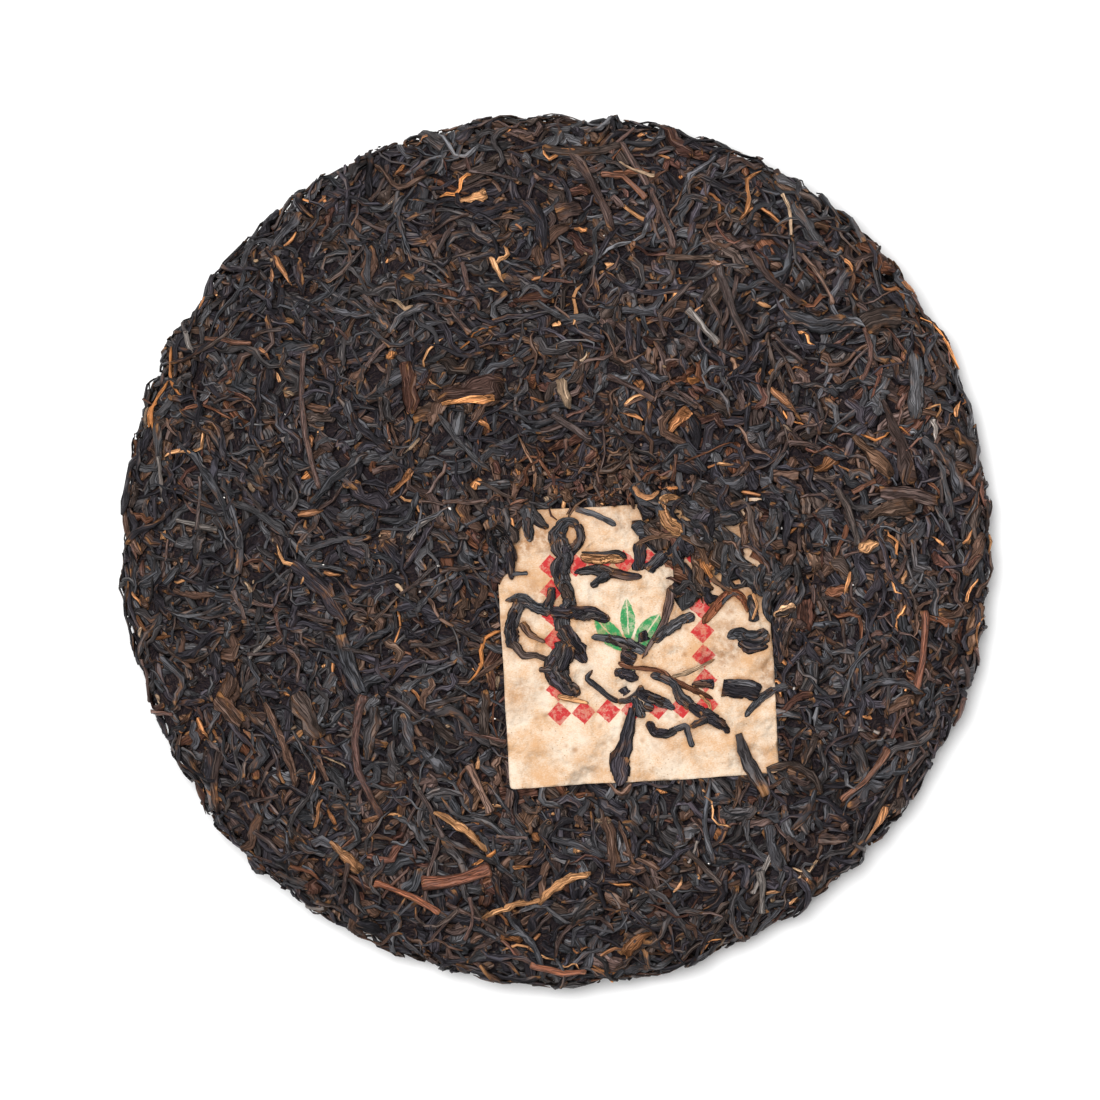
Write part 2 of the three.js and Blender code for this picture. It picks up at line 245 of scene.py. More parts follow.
def leafMaterial(name, gloss=0.12, dustySheenAmount=0.34, rusting=0.5, roughness=0.4):
    paint = Paint(name)
    f = leafFinish
    grain = paint.attribute("grain")
    # the leaf's colour, with painted shade towards its underside
    tone = paint.attribute("leafTone", "Color")
    share = paint.attribute("leafTone", "Alpha")  # how far along the leaf, from 0 to 1
    bend = paint.noise(paint.scaled(grain, (0.35, 0.5, 1), (3, 9, 0)), 1, 1)
    bent = paint.node("ShaderNodeCombineXYZ", None, {"Y": (bend - 0.5) * 1.1})
    flowing = paint.vectors("ADD", grain, bent)
    wave = paint.noise(paint.scaled(flowing, f["ridges"]), 1, 2, 0.5)
    folds = paint.between(wave, 0.34, 0.66)
    crease = 1 - paint.between(paint.maths("ABSOLUTE", wave - 0.5), 0.006, 0.05)
    fibres = paint.noise(paint.scaled(flowing, f["fibres"]), 1, 2, 0.6)
    patches = paint.noise(paint.scaled(grain, f["patches"], (5, 2, 0)), 1, 3, 0.6)
    speckle = paint.noise(paint.scaled(grain, f["speckles"]), 1, 3, 0.75)
    # painted light and shade: the ridges of the folds are lighter and the creases darker; fibres and
    # speckle are the leaf's own grain
    shade = (0.62 + folds * 0.66) * (0.46 + fibres * 1.16) * (0.44 + speckle * 1.2) * (1 - crease * 0.75)
    # painted sheen: the ridges keep the leaf's cooler tone, as the light's reflection on them would show,
    # and the hollows are browner
    browned = paint.vectors("MULTIPLY", tone, f["hollowTint"])
    own = paint.blend(1.1 - folds * 0.8 - speckle * 0.5, tone, browned)
    colour = paint.stretch(own, shade)
    ends = paint.between(paint.maths("ABSOLUTE", share - 0.5), 0.3, 0.52)
    rusty = paint.between(patches + ends * 0.08 + folds * 0.04, 0.56, 0.7)
    rust = paint.blend(fibres, linear(f["rustDark"]), linear(f["rust"]))
    colour = paint.blend(rusty * rusting * (1 - crease * 0.6), colour, rust)
    # painted highlight: a dusty grey laid on the raised ridges, where the light would catch them
    dustySheenMask = paint.between(folds * 0.4 + fibres * 0.6, 0.62, 0.8) * paint.between(patches, 0.4, 0.55)
    colour = paint.blend(dustySheenMask * dustySheenAmount, colour, linear(f["dustySheen"]))
    tips = paint.between(patches + ends * 0.13, 0.68, 0.74) * rusting
    colour = paint.blend(tips * (0.4 + fibres), colour, linear(f["tip"]))
    height = folds * 0.5 + fibres * 0.3 + speckle * 0.3 - crease * 0.45
    return paint.finish(colour, roughness + fibres * 0.3, height, f["foldDepth"], gloss)


coreFinish = {
    # painted shade: crumb colours darker than any leaf, for the shade deep in the gaps
    "crumb": ("100e12", "262023", "4b3d36"),
    "crumbDepth": 0.9,
    "leafPatch": 260,  # patches of crushed leaf, for each metre
    "patchFolds": (500, 3200, 1000),  # folds of a patch, for each metre along and across it
    "wander": 0.003,  # how far a patch's edge wanders, in metres
    "crumbs": 1500,
}


def coreMaterial():
    # crushed leaf, coloured near black as painted shade at the bottom of the gaps: patches, each with
    # folds that run its own way
    paint = Paint("crumbledTea")
    f = coreFinish
    place = paint.node("ShaderNodeTexCoord", None, None, "Object")
    shift = paint.stretch(paint.noise(place, 400, 2, output="Color"), f["wander"])
    moved = paint.vectors("ADD", place, shift)
    patch = paint.cells(moved, f["leafPatch"], "Color")
    angle = paint.node("ShaderNodeSeparateXYZ", None, {"Vector": patch}, "X") * 6.28
    sockets = {"Vector": moved, "Angle": angle}
    turned = paint.node("ShaderNodeVectorRotate", {"rotation_type": "Z_AXIS"}, sockets)
    folds = paint.noise(paint.scaled(turned, f["patchFolds"]), 1, 2, 0.5)
    crumbs = paint.noise(place, f["crumbs"], 3, 0.7)
    dark, middle, light = (linear(code) for code in f["crumb"])
    stops = [(0.3, dark), (0.52, middle), (0.75, light)]
    colour = paint.node("ShaderNodeValToRGB", {"stops": stops}, {"Fac": folds * 0.7 + crumbs * 0.3})
    return paint.finish(colour, 0.7 + crumbs * 0.2, folds + crumbs * 0.35, f["crumbDepth"], 0.05)


ticket = {
    "middle": (18.4, -21.2),
    "turn": math.radians(3.4),
    "size": (61.8, 63.4),
    "paper": ("dbcab6", "c59b73"),
    "stain": "9c6e46",
    "speck": "7e5532",
    # where damp has browned it: x, y, how far, and how much
    "damp": [
        (-27, 26, 10, 0.95), (-16, 27, 10, 0.8), (-29, 4, 7, 0.7), (26, 12, 9, 0.9), (20, -1, 9, 0.7),
        (-28, -10, 6, 0.5), (-12, -27, 5, 0.4), (6, -24, 5, 0.35), (29, -7, 6, 0.8), (-22, 14, 8, 0.6),
        (-3, 30, 7, 0.5), (28, -28, 6, 0.4),
    ],
}

ticketPrint = {
    "centre": (-1.8, 1.8),
    "frameHalf": 16.8,  # from the centre to the middle of a side of lozenges
    "pitch": 5.6,  # from one lozenge to the next
    "lozenge": 2.75,  # half across its corners
    "frameInk": "b4292c",
    "sprigInk": "2a864c",
    # leaves and bud of the sprig: centre, turn in degrees, half length, half width
    "blades": [((-4.3, 0.6), 128, 5.2, 2.3), ((4.3, 0.6), 52, 5.2, 2.3), ((0, 3.6), 90, 5.0, 1.7)],
    "stalk": (0.55, -8, 0.5),  # half width, from and to
    "softness": 0.12,
}


def turnedOff(x, y, centre, degrees):
    # x and y along and across a thing that lies turned, at its own centre
    c, s = math.cos(math.radians(degrees)), math.sin(math.radians(degrees))
    dx, dy = x - centre[0], y - centre[1]
    return dx * c + dy * s, dy * c - dx * s


def printMasks(paint, place):
    # where the ink of the frame and of the sprig is
    p = ticketPrint
    soft = p["softness"]
    wobble = paint.noise(place, 0.9, 2)
    parts = paint.node("ShaderNodeSeparateXYZ", None, {"Vector": place}, "X")
    x = parts - p["centre"][0] + (wobble - 0.5) * 0.5
    y = parts.of("Y") - p["centre"][1] + (wobble - 0.5) * 0.5
    far = paint.maths("MAXIMUM", paint.maths("ABSOLUTE", x), paint.maths("ABSOLUTE", y))
    near = paint.maths("MINIMUM", paint.maths("ABSOLUTE", x), paint.maths("ABSOLUTE", y))
    step = near / p["pitch"]
    aside = paint.maths("ABSOLUTE", step - paint.maths("ROUND", step)) * p["pitch"]
    reach = aside + paint.maths("ABSOLUTE", far - p["frameHalf"])
    lozenges = 1 - paint.between(reach, p["lozenge"] - soft, p["lozenge"] + soft)
    sprig = None
    for centre, degrees, length, width in p["blades"]:
        u, v = turnedOff(x, y, centre, degrees)
        edge = (1 - (u / length) * (u / length)) * width - paint.maths("ABSOLUTE", v)
        blade = paint.between(edge, -0.1, soft)
        vein = paint.between(paint.maths("ABSOLUTE", v), 0.1, 0.22)
        blade = blade * (0.25 + vein * 0.75)
        sprig = blade if sprig is None else paint.maths("MAXIMUM", sprig, blade)
    halfWidth, low, high = p["stalk"]
    stalk = 1 - paint.between(paint.maths("ABSOLUTE", x), halfWidth - 0.1, halfWidth + 0.1)
    stalk = stalk * paint.between(y, low - 0.1, low + 0.1)
    stalk = stalk * (1 - paint.between(y, high - 0.1, high + 0.1))
    return lozenges, paint.maths("MAXIMUM", sprig, stalk)


def paperMaterial():
    paint = Paint("agedPaper")
    place = paint.attribute("place")
    light, warm = (linear(code) for code in ticket["paper"])
    clouds = paint.noise(place, 0.11, 4, 0.66)
    fibre = paint.noise(paint.scaled(place, (1, 1.6, 1)), 2.2, 3, 0.7)
    colour = paint.blend(paint.between(clouds * 0.66 + fibre * 0.34, 0.38, 0.64), light, warm)
    blotches = paint.between(paint.noise(place, 0.5, 4, 0.7), 0.4, 0.62)
    for x, y, far, much in ticket["damp"]:
        away = paint.vectors("DISTANCE", place, (x, y, 0), "Value")
        stain = (1 - paint.between(away / far + (clouds - 0.5) * 2.4, 0.2, 1.0)) * much
        colour = paint.blend(stain * (0.25 + blotches * 0.7), colour, linear(ticket["stain"]))
    spots = paint.cells(place, 0.3)
    which = paint.noise(place, 0.14, 1)
    spot = (1 - paint.between(spots + (fibre - 0.5) * 0.5, 0.05, 0.3)) * paint.between(which, 0.42, 0.62)
    colour = paint.blend(spot * 0.7, colour, linear(ticket["stain"]))
    specks = paint.cells(place, 0.9)
    speck = (1 - paint.between(specks + (fibre - 0.5) * 0.2, 0.04, 0.2)) * paint.between(which, 0.47, 0.6)
    colour = paint.blend(speck * 0.65, colour, linear(ticket["speck"]))
    # the leaves that lie on it have stained it along their edges
    leafStain = paint.attribute("leafStain", "Fac")
    colour = paint.blend(leafStain * (0.5 + fibre * 0.7), colour, linear(ticket["stain"]))
    lozenges, sprig = printMasks(paint, place)
    ink = 0.6 + paint.between(fibre * 0.6 + blotches * 0.4, 0.25, 0.6) * 0.38
    colour = paint.blend(lozenges * ink, colour, linear(ticketPrint["frameInk"]))
    colour = paint.blend(sprig * ink, colour, linear(ticketPrint["sprigInk"]))
    # sharp wrinkles, as in paper that was pressed wet over the leaves
    shift = paint.stretch(paint.noise(place, 0.16, 2, output="Color"), 7)
    facets = paint.cells(paint.vectors("ADD", place, shift), 0.1)
    swell = paint.noise(place, 0.2, 2, 0.45)
    height = facets * 2.2 + swell * 2.4 + clouds * 1.2 + fibre * 0.09
    return paint.finish(colour, 0.78 + fibre * 0.15, height, 0.9, 0.2)


def startFresh():
    # nothing is selected when a new piece is added
    if bpy.context.mode != "OBJECT":
        bpy.ops.object.mode_set(mode="OBJECT")
    bpy.ops.object.select_all(action="DESELECT")


def pick(piece, test):
    # selects the points that pass, and leaves the piece in edit mode
    bpy.ops.object.mode_set(mode="EDIT")
    bpy.ops.mesh.select_mode(type="VERT")
    bpy.ops.mesh.select_all(action="DESELECT")
    bpy.ops.object.mode_set(mode="OBJECT")
    for point in piece.data.vertices:
        point.select = bool(test(point.co))
    bpy.ops.object.mode_set(mode="EDIT")


def pointsOf(mesh):
    points = np.zeros(len(mesh.vertices) * 3)
    mesh.vertices.foreach_get("co", points)
    return points.reshape(-1, 3)


def readShape(piece):
    # the finished shape as arrays: its points, and the corners and sizes of its faces
    startFresh()
    mesh = piece.data
    points = pointsOf(mesh)
    corners = np.zeros(len(mesh.loops), int)
    mesh.loops.foreach_get("vertex_index", corners)
    sizes = np.zeros(len(mesh.polygons), int)
    mesh.polygons.foreach_get("loop_total", sizes)
    low, high = points.min(0), points.max(0)
    points[:, 0] = (points[:, 0] - low[0]) / (high[0] - low[0])
    points[:, 1] = (points[:, 1] - (low[1] + high[1]) / 2) / (high[1] - low[1])
    points[:, 2] = (points[:, 2] - low[2]) / (high[2] - low[2])
    bpy.data.objects.remove(piece)
    return {"points": points, "corners": corners, "sizes": sizes}


leafBuild = {
    "level": 0.3,  # the height that rings are made wider and thinner about
    "creaseFrom": 0.45,  # creases are pushed in only above this
    "edge": 0.42,  # share of a flat leaf's width beyond which its edge curls
    "vein": 0.1,  # and share of it within which its vein is sunk
    "crumble": 0.16,  # how far a crumb's points are knocked about
}


def drawnOut(settings):
    # a rolled leaf: a ring drawn out along x, wider and thinner by turns, with creases pushed in along it
    startFresh()
    rings, level = settings["rings"], leafBuild["level"]
    upright = {"location": (0, 0, 0.5), "rotation": (0, math.pi / 2, 0)}
    bpy.ops.mesh.primitive_circle_add(vertices=settings["sides"], radius=0.5, fill_type="NGON", **upright)
    piece = bpy.context.object
    bpy.ops.object.transform_apply(location=True, rotation=True, scale=True)
    bpy.ops.object.mode_set(mode="EDIT")
    bpy.ops.mesh.select_all(action="SELECT")
    x, wide, thick = rings[0]
    bpy.ops.transform.resize(value=(1, wide, thick), center_override=(x, 0, level))
    for nextX, nextWide, nextThick in rings[1:]:
        bpy.ops.mesh.extrude_region_move(TRANSFORM_OT_translate={"value": (nextX - x, 0, 0)})
        grow = (1, nextWide / wide, nextThick / thick)
        bpy.ops.transform.resize(value=grow, center_override=(nextX, 0, level))
        x, wide, thick = nextX, nextWide, nextThick
    bpy.ops.mesh.select_all(action="SELECT")
    bpy.ops.mesh.normals_make_consistent(inside=False)
    for across, depth in settings["creases"]:
        bpy.ops.object.mode_set(mode="OBJECT")
        chosen = set()
        above = [v for v in piece.data.vertices if v.co.z > leafBuild["creaseFrom"]]
        for ringX, _, _ in rings[1:-1]:
            ring = [v for v in above if abs(v.co.x - ringX) < 1e-4]
            chosen.add(min(ring, key=lambda v: abs(v.co.y - across)).index)
        places = {tuple(piece.data.vertices[index].co) for index in chosen}
        pick(piece, lambda co: tuple(co) in places)
        bpy.ops.transform.translate(value=(0, 0, -depth))
    return readShape(piece)


def flatLeaf(settings):
    # a flat piece of leaf: a sheet cut to a leaf's outline, its edges curled up and its middle vein sunk
    startFresh()
    columns, rows = settings["cells"]
    middle = (0.5, 0, leafBuild["level"])
    bpy.ops.mesh.primitive_grid_add(x_subdivisions=columns, y_subdivisions=rows, size=1, location=middle)
    piece = bpy.context.object
    bpy.ops.object.transform_apply(location=True, rotation=True, scale=True)
    for x in sorted({round(v.co.x, 4) for v in piece.data.vertices}):
        wide = np.interp(x, *zip(*settings["outline"]))
        pick(piece, lambda co: abs(co.x - x) < 1e-3)
        bpy.ops.transform.resize(value=(1, wide, 1), center_override=(x, 0, leafBuild["level"]))
        pick(piece, lambda co: abs(co.x - x) < 1e-3 and abs(co.y) > leafBuild["edge"] * wide)
        bpy.ops.transform.translate(value=(0, 0, settings["curl"] * (0.6 + 0.4 * math.sin(9 * x))))
        pick(piece, lambda co: abs(co.x - x) < 1e-3 and abs(co.y) < leafBuild["vein"] * wide)
        bpy.ops.transform.translate(value=(0, 0, -settings["vein"]))
    bpy.ops.object.mode_set(mode="OBJECT")
    thickness = piece.modifiers.new("thickness", "SOLIDIFY")
    thickness.thickness, thickness.offset = settings["thick"], 0
    bpy.ops.object.modifier_apply(modifier=thickness.name)
    return readShape(piece) | {"flat": True}


def crumbShape(seed):
    # a broken bit: a ball knocked out of shape
    startFresh()
    bpy.ops.mesh.primitive_ico_sphere_add(subdivisions=1, radius=0.5, location=(0.5, 0, 0.5))
    piece = bpy.context.object
    bpy.ops.object.transform_apply(location=True, rotation=True, scale=True)
    bpy.ops.object.mode_set(mode="EDIT")
    bpy.ops.mesh.select_all(action="SELECT")
    bpy.ops.transform.vertex_random(offset=leafBuild["crumble"], seed=seed)
    return readShape(piece)


def evenRings(count, ends=0.35):
    # rings of one width, narrower at the two ends
    sizes = [ends] + [1.0] * (count - 2) + [ends]
    return [(float(x), size, size) for x, size in zip(np.linspace(0, 1, count), sizes)]


rolledLeaf = {
    "sides": 6,
    "rings": [
        (0, 0.5, 0.5), (0.05, 0.85, 0.85), (0.2, 1, 1), (0.35, 0.84, 0.95), (0.5, 0.96, 0.9),
        (0.65, 0.8, 0.9), (0.8, 0.94, 1), (0.94, 0.7, 0.75), (1, 0.35, 0.4),
    ],
    "creases": [(0.0, 0.34)],
}
twistedLeaf = {
    "sides": 6,
    "rings": [
        (0, 0.35, 0.4), (0.08, 0.6, 0.75), (0.2, 0.96, 1), (0.32, 0.68, 0.85), (0.44, 1, 1),
        (0.56, 0.7, 0.85), (0.68, 0.92, 0.95), (0.8, 0.62, 0.8), (0.92, 0.8, 0.75), (1, 0.3, 0.35),
    ],
    "creases": [(0.0, 0.3)],
}
foldedLeaf = {
    "sides": 8,
    "rings": [
        (0, 0.6, 0.5), (0.07, 0.9, 0.9), (0.28, 1, 1), (0.52, 0.9, 0.9), (0.75, 0.96, 0.95),
        (0.93, 0.7, 0.7), (1, 0.4, 0.4),
    ],
    "creases": [(0.22, 0.34), (-0.3, 0.22)],
}
frayedLeaf = {
    "sides": 8,
    "rings": [
        (0, 0.25, 0.4), (0.14, 0.45, 0.75), (0.34, 0.6, 0.85), (0.55, 0.82, 1), (0.78, 1, 0.85),
        (0.95, 0.9, 0.55), (1, 0.72, 0.35),
    ],
    "creases": [(0.15, 0.32), (-0.25, 0.28)],
}
plainLeaf = {
    "sides": 6,
    "rings": [(0, 0.5, 0.4), (0.2, 0.95, 1), (0.5, 0.85, 0.8), (0.8, 1, 1), (1, 0.4, 0.4)],
    "creases": [(0, 0.3)],
}
shredShape = {
    "sides": 5,
    "rings": [
        (0, 0.4, 0.4), (0.1, 0.85, 0.85), (0.28, 1, 1), (0.46, 0.82, 0.9), (0.64, 0.95, 0.9),
        (0.82, 0.75, 0.8), (1, 0.3, 0.3),
    ],
    "creases": [],
}
stemShape = {
    "sides": 6,
    "rings": [
        (0, 0.9, 0.9), (0.03, 1.05, 1.05), (0.09, 0.9, 0.9), (0.35, 0.85, 0.85), (0.6, 0.8, 0.8),
        (0.88, 0.78, 0.78), (0.97, 0.95, 0.95), (1, 0.7, 0.7),
    ],
    "creases": [],
}
budShape = {
    "sides": 6,
    "rings": [
        (0, 0.6, 0.6), (0.12, 0.9, 0.9), (0.36, 1, 1), (0.62, 0.78, 0.85), (0.86, 0.45, 0.5),
        (1, 0.12, 0.2),
    ],
    "creases": [(0.1, 0.25)],
}
longLeaf = {"sides": 8, "rings": evenRings(19), "creases": [(0.25, 0.3), (-0.2, 0.2)]}
bladeLeaf = {"sides": 8, "rings": evenRings(13, 0.92), "creases": [(0.3, 0.16), (-0.1, 0.22)]}
broadFlake = {
    "cells": (5, 4),
    "outline": [(0, 0.4), (0.15, 0.85), (0.45, 1), (0.8, 0.75), (1, 0.3)],
    "curl": 0.32,
    "vein": 0.14,
    "thick": 0.22,
}
tornFlake = {
    "cells": (5, 4),
    "outline": [(0, 0.75), (0.2, 1), (0.5, 0.82), (0.75, 0.95), (1, 0.5)],
    "curl": 0.24,
    "vein": 0.05,
    "thick": 0.22,
}

print("modelling the leaf shapes")
shapes = {
    "rolled": drawnOut(rolledLeaf),
    "folded": drawnOut(foldedLeaf),
    "twisted": drawnOut(twistedLeaf),
    "frayed": drawnOut(frayedLeaf),
    "long": drawnOut(longLeaf),
    "blade": drawnOut(bladeLeaf),
    "shred": drawnOut(shredShape),
    "plain": drawnOut(plainLeaf),
    "stem": drawnOut(stemShape),
    "bud": drawnOut(budShape),
    "broad": flatLeaf(broadFlake),
    "torn": flatLeaf(tornFlake),
    "crumbA": crumbShape(3),
    "crumbB": crumbShape(8),
}


# how the leaves of a face pile up, and how far they are pressed
pileForm = {
    "reach": 124,  # half the side of a face's map
    "cell": 0.5,
    "start": -2.0,  # where the leaves start, under the pressed surface
    "pressBlur": 6.5,
    "level": -0.35,  # where the pressed leaves end up, in the middle of their ups and downs
    "give": 0.75,  # how much of its depth a gap keeps
    "proud": 0.85,  # the most that one stands up from there
    "rimProud": 2.9,
    "rim": (84, 99),  # where the face's value goes over into the rim's
    "clearance": 0.06,  # between the leaves underneath and what the cake lies on
}


def blur(grid, sigma):
    # a soft blur of a map, over so many millimetres
    waves = np.fft.fftfreq(len(grid), pileForm["cell"])
    fall = np.exp(-2 * (math.pi * sigma * waves) ** 2)
    return np.fft.ifft2(np.fft.fft2(grid) * fall[:, None] * fall[None, :]).real


def smoothed(values, rounds):
    # evened out along a leaf
    for _ in range(rounds):
        padded = np.concatenate([values[:1], values, values[-1:]])
        values = 0.25 * padded[:-2] + 0.5 * padded[1:-1] + 0.25 * padded[2:]
    return values


def crinkled(points, much):
    # a shape made uneven, another way for each leaf
    t, v, w = points.T
    p = rng.uniform(0, 6.3, 6)
    wide = 1 + much * (np.sin(8 * t + p[0]) + 0.7 * np.sin(19 * t + 3 * v + p[1]))
    v = v * wide + 0.5 * much * np.sin(14 * t + p[2])
    w = w * (1 + 1.2 * much * np.sin(11 * t + p[3])) + 0.8 * much * np.sin(17 * t + 9 * v + p[4])
    return t, v, w


class Pile:
    # the leaves laid on one face so far, and a map of how high they reach
    def __init__(self, face):
        self.face = face
        f = pileForm
        count = int(2 * f["reach"] / f["cell"])
        centres = (np.arange(count) + 0.5) * f["cell"] - f["reach"]
        self.x, self.y = np.meshgrid(centres, centres)
        bumps = 0.3 * np.sin(self.x / 5.1 + 0.7) * np.sin(self.y / 6.3)
        bumps = bumps + 0.2 * np.sin((self.x - self.y) / 3.7)
        self.height = f["start"] + bumps
        self.owner = np.full(self.height.shape, -1)
        self.leaves = []

    def cells(self, x, y):
        # the rows and columns of the map at some places
        f = pileForm
        last = len(self.height) - 1
        column = np.clip(((x + f["reach"]) / f["cell"]).astype(int), 0, last)
        row = np.clip(((y + f["reach"]) / f["cell"]).astype(int), 0, last)
        return row, column

    def sample(self, grid, x, y):
        # between the cells' middles
        f = pileForm
        last = len(grid) - 1.001
        across = np.clip((x + f["reach"]) / f["cell"] - 0.5, 0, last)
        up = np.clip((y + f["reach"]) / f["cell"] - 0.5, 0, last)
        j, i = across.astype(int), up.astype(int)
        a, b = across - j, up - i
        low = grid[i, j] * (1 - a) + grid[i, j + 1] * a
        high = grid[i + 1, j] * (1 - a) + grid[i + 1, j + 1] * a
        return low * (1 - b) + high * b

    def lay(
        self, piece, shapeName, line, width, thick, tone,
        sink=0.0, twist=0.0, turn=0.0, slump=2, high=0.35, rough=0.13,
    ):
        # one leaf along a line of places; it rests on what is there already: on the highest points where
        # high is 1, and on their mean where it is 0
        line = np.asarray(line, float)
        count = len(line)
        width = np.broadcast_to(np.asarray(width, float), count)
        way = np.gradient(line, axis=0)
        way /= np.linalg.norm(way, axis=1)[:, None] + 1e-9
        side = np.stack([-way[:, 1], way[:, 0]], axis=1)
        offsets = np.array([-0.4, 0, 0.4])
        spots = line[:, None, :] + side[:, None, :] * (width[:, None] * offsets)[:, :, None]
        under = self.height[self.cells(spots[..., 0], spots[..., 1])]
        rest = smoothed(high * under.max(axis=1) + (1 - high) * under.mean(axis=1), slump) - sink
        tilt = smoothed(np.clip((under[:, 2] - under[:, 0]) / (0.8 * width), -0.5, 0.5), slump)
        lengths = np.concatenate([[0], np.cumsum(np.linalg.norm(np.diff(line, axis=0), axis=1))])
        u = lengths / lengths[-1]

        def along(share, values):
            return np.interp(share, u, values)

        shape = shapes[shapeName]
        t, v, w = crinkled(shape["points"], rough)
        roll = turn + twist * (t - 0.5)
        lift = w - 0.5
        aside = v * np.cos(roll) - lift * np.sin(roll)
        up = v * np.sin(roll) + lift * np.cos(roll) + 0.5
        wide = along(t, width)
        x = along(t, line[:, 0]) + along(t, side[:, 0]) * aside * wide
        y = along(t, line[:, 1]) + along(t, side[:, 1]) * aside * wide
        height = along(t, rest) + along(t, tilt) * aside * wide + up * thick
        around = v * wide if "flat" in shape else np.arctan2(v, lift) * 0.5 * wide
        number = len(self.leaves)
        apart = np.full(len(t), (number * 7.31) % 997)  # each leaf has its own part of the grain
        grain = np.stack([t * lengths[-1], around, apart], axis=1)
        paintedShade = 0.12 + smoothstep(up, 0.1, 0.75)  # painted shade: each leaf is darker towards its underside, so that the gaps between leaves look shaded
        shade = np.concatenate([paintedShade[:, None] * tone, t[:, None]], axis=1)
        leaf = {"piece": piece, "shape": shapeName, "tone": shade, "grain": grain}
        self.leaves.append(leaf | {"x": x, "y": y, "height": height})
        self.cover(number, line, side, width, rest, tilt, thick, u, lengths[-1])

    def cover(self, number, line, side, width, rest, tilt, thick, u, length):
        # raises the map where the leaf lies
        cell = pileForm["cell"]
        steps = max(3, int(length / (cell * 0.8)))
        rows = max(3, int(width.max() / (cell * 0.7)) | 1)
        t = np.linspace(0.02, 0.98, steps)
        v = np.linspace(-0.46, 0.46, rows)
        wide = np.interp(t, u, width) * (1 - 0.4 * np.abs(2 * t - 1) ** 3)
        cx, cy = np.interp(t, u, line[:, 0]), np.interp(t, u, line[:, 1])
        sx, sy = np.interp(t, u, side[:, 0]), np.interp(t, u, side[:, 1])
        x = cx[:, None] + sx[:, None] * wide[:, None] * v
        y = cy[:, None] + sy[:, None] * wide[:, None] * v
        crown = 0.3 + 0.62 * np.sqrt(1 - (2 * v) ** 2 * 0.95)
        slope = np.interp(t, u, tilt)[:, None] * wide[:, None] * v
        reached = (np.interp(t, u, rest)[:, None] + slope + thick * crown).ravel()
        row, column = self.cells(x.ravel(), y.ravel())
        order = np.argsort(reached)
        row, column, reached = row[order], column[order], reached[order]
        above = reached > self.height[row, column]
        self.height[row[above], column[above]] = reached[above]
        self.owner[row[above], column[above]] = number


def pressedDown(pile):
    # the pile under the press: what stands up is flattened, and what is low stays low
    f = pileForm
    around = blur(pile.height, f["pressBlur"])

    def squeeze(x, y, height):
        stand = height - pile.sample(around, x, y)
        proud = f["proud"] + (f["rimProud"] - f["proud"]) * smoothstep(np.hypot(x, y), *f["rim"])
        if pile.face == "bottom":
            proud = min(f["proud"], -f["level"] - f["clearance"])
        up = proud * np.tanh(0.75 * np.maximum(stand, 0) / proud)
        return f["level"] + up + f["give"] * np.minimum(stand, 0)

    for leaf in pile.leaves:
        leaf["height"] = squeeze(leaf["x"], leaf["y"], leaf["height"])
    pile.height = squeeze(pile.x, pile.y, pile.height)


# colours of the dry leaves
tones = {
    "black": ("312f35", "3a363c", "2c2a2f", "413e3f"),
    "slate": ("444448", "3d3e42", "505053"),
    "brown": ("51423e", "473c37", "5e483d"),
    "red": ("583b31", "674331", "50362f"),
    "bark": ("42332f", "4e3a34", "392d2a"),
    "gold": ("b27645", "c28656", "d29c6d", "976642"),
    "rust": ("794833", "885238"),
    "olive": ("604c40", "6a503f"),
    "tan": ("ab9176", "947b61"),
    "dun": ("b08259", "9f7350"),
    "straw": ("dcb088",),
    "grey": ("8b827c", "76706c"),
}

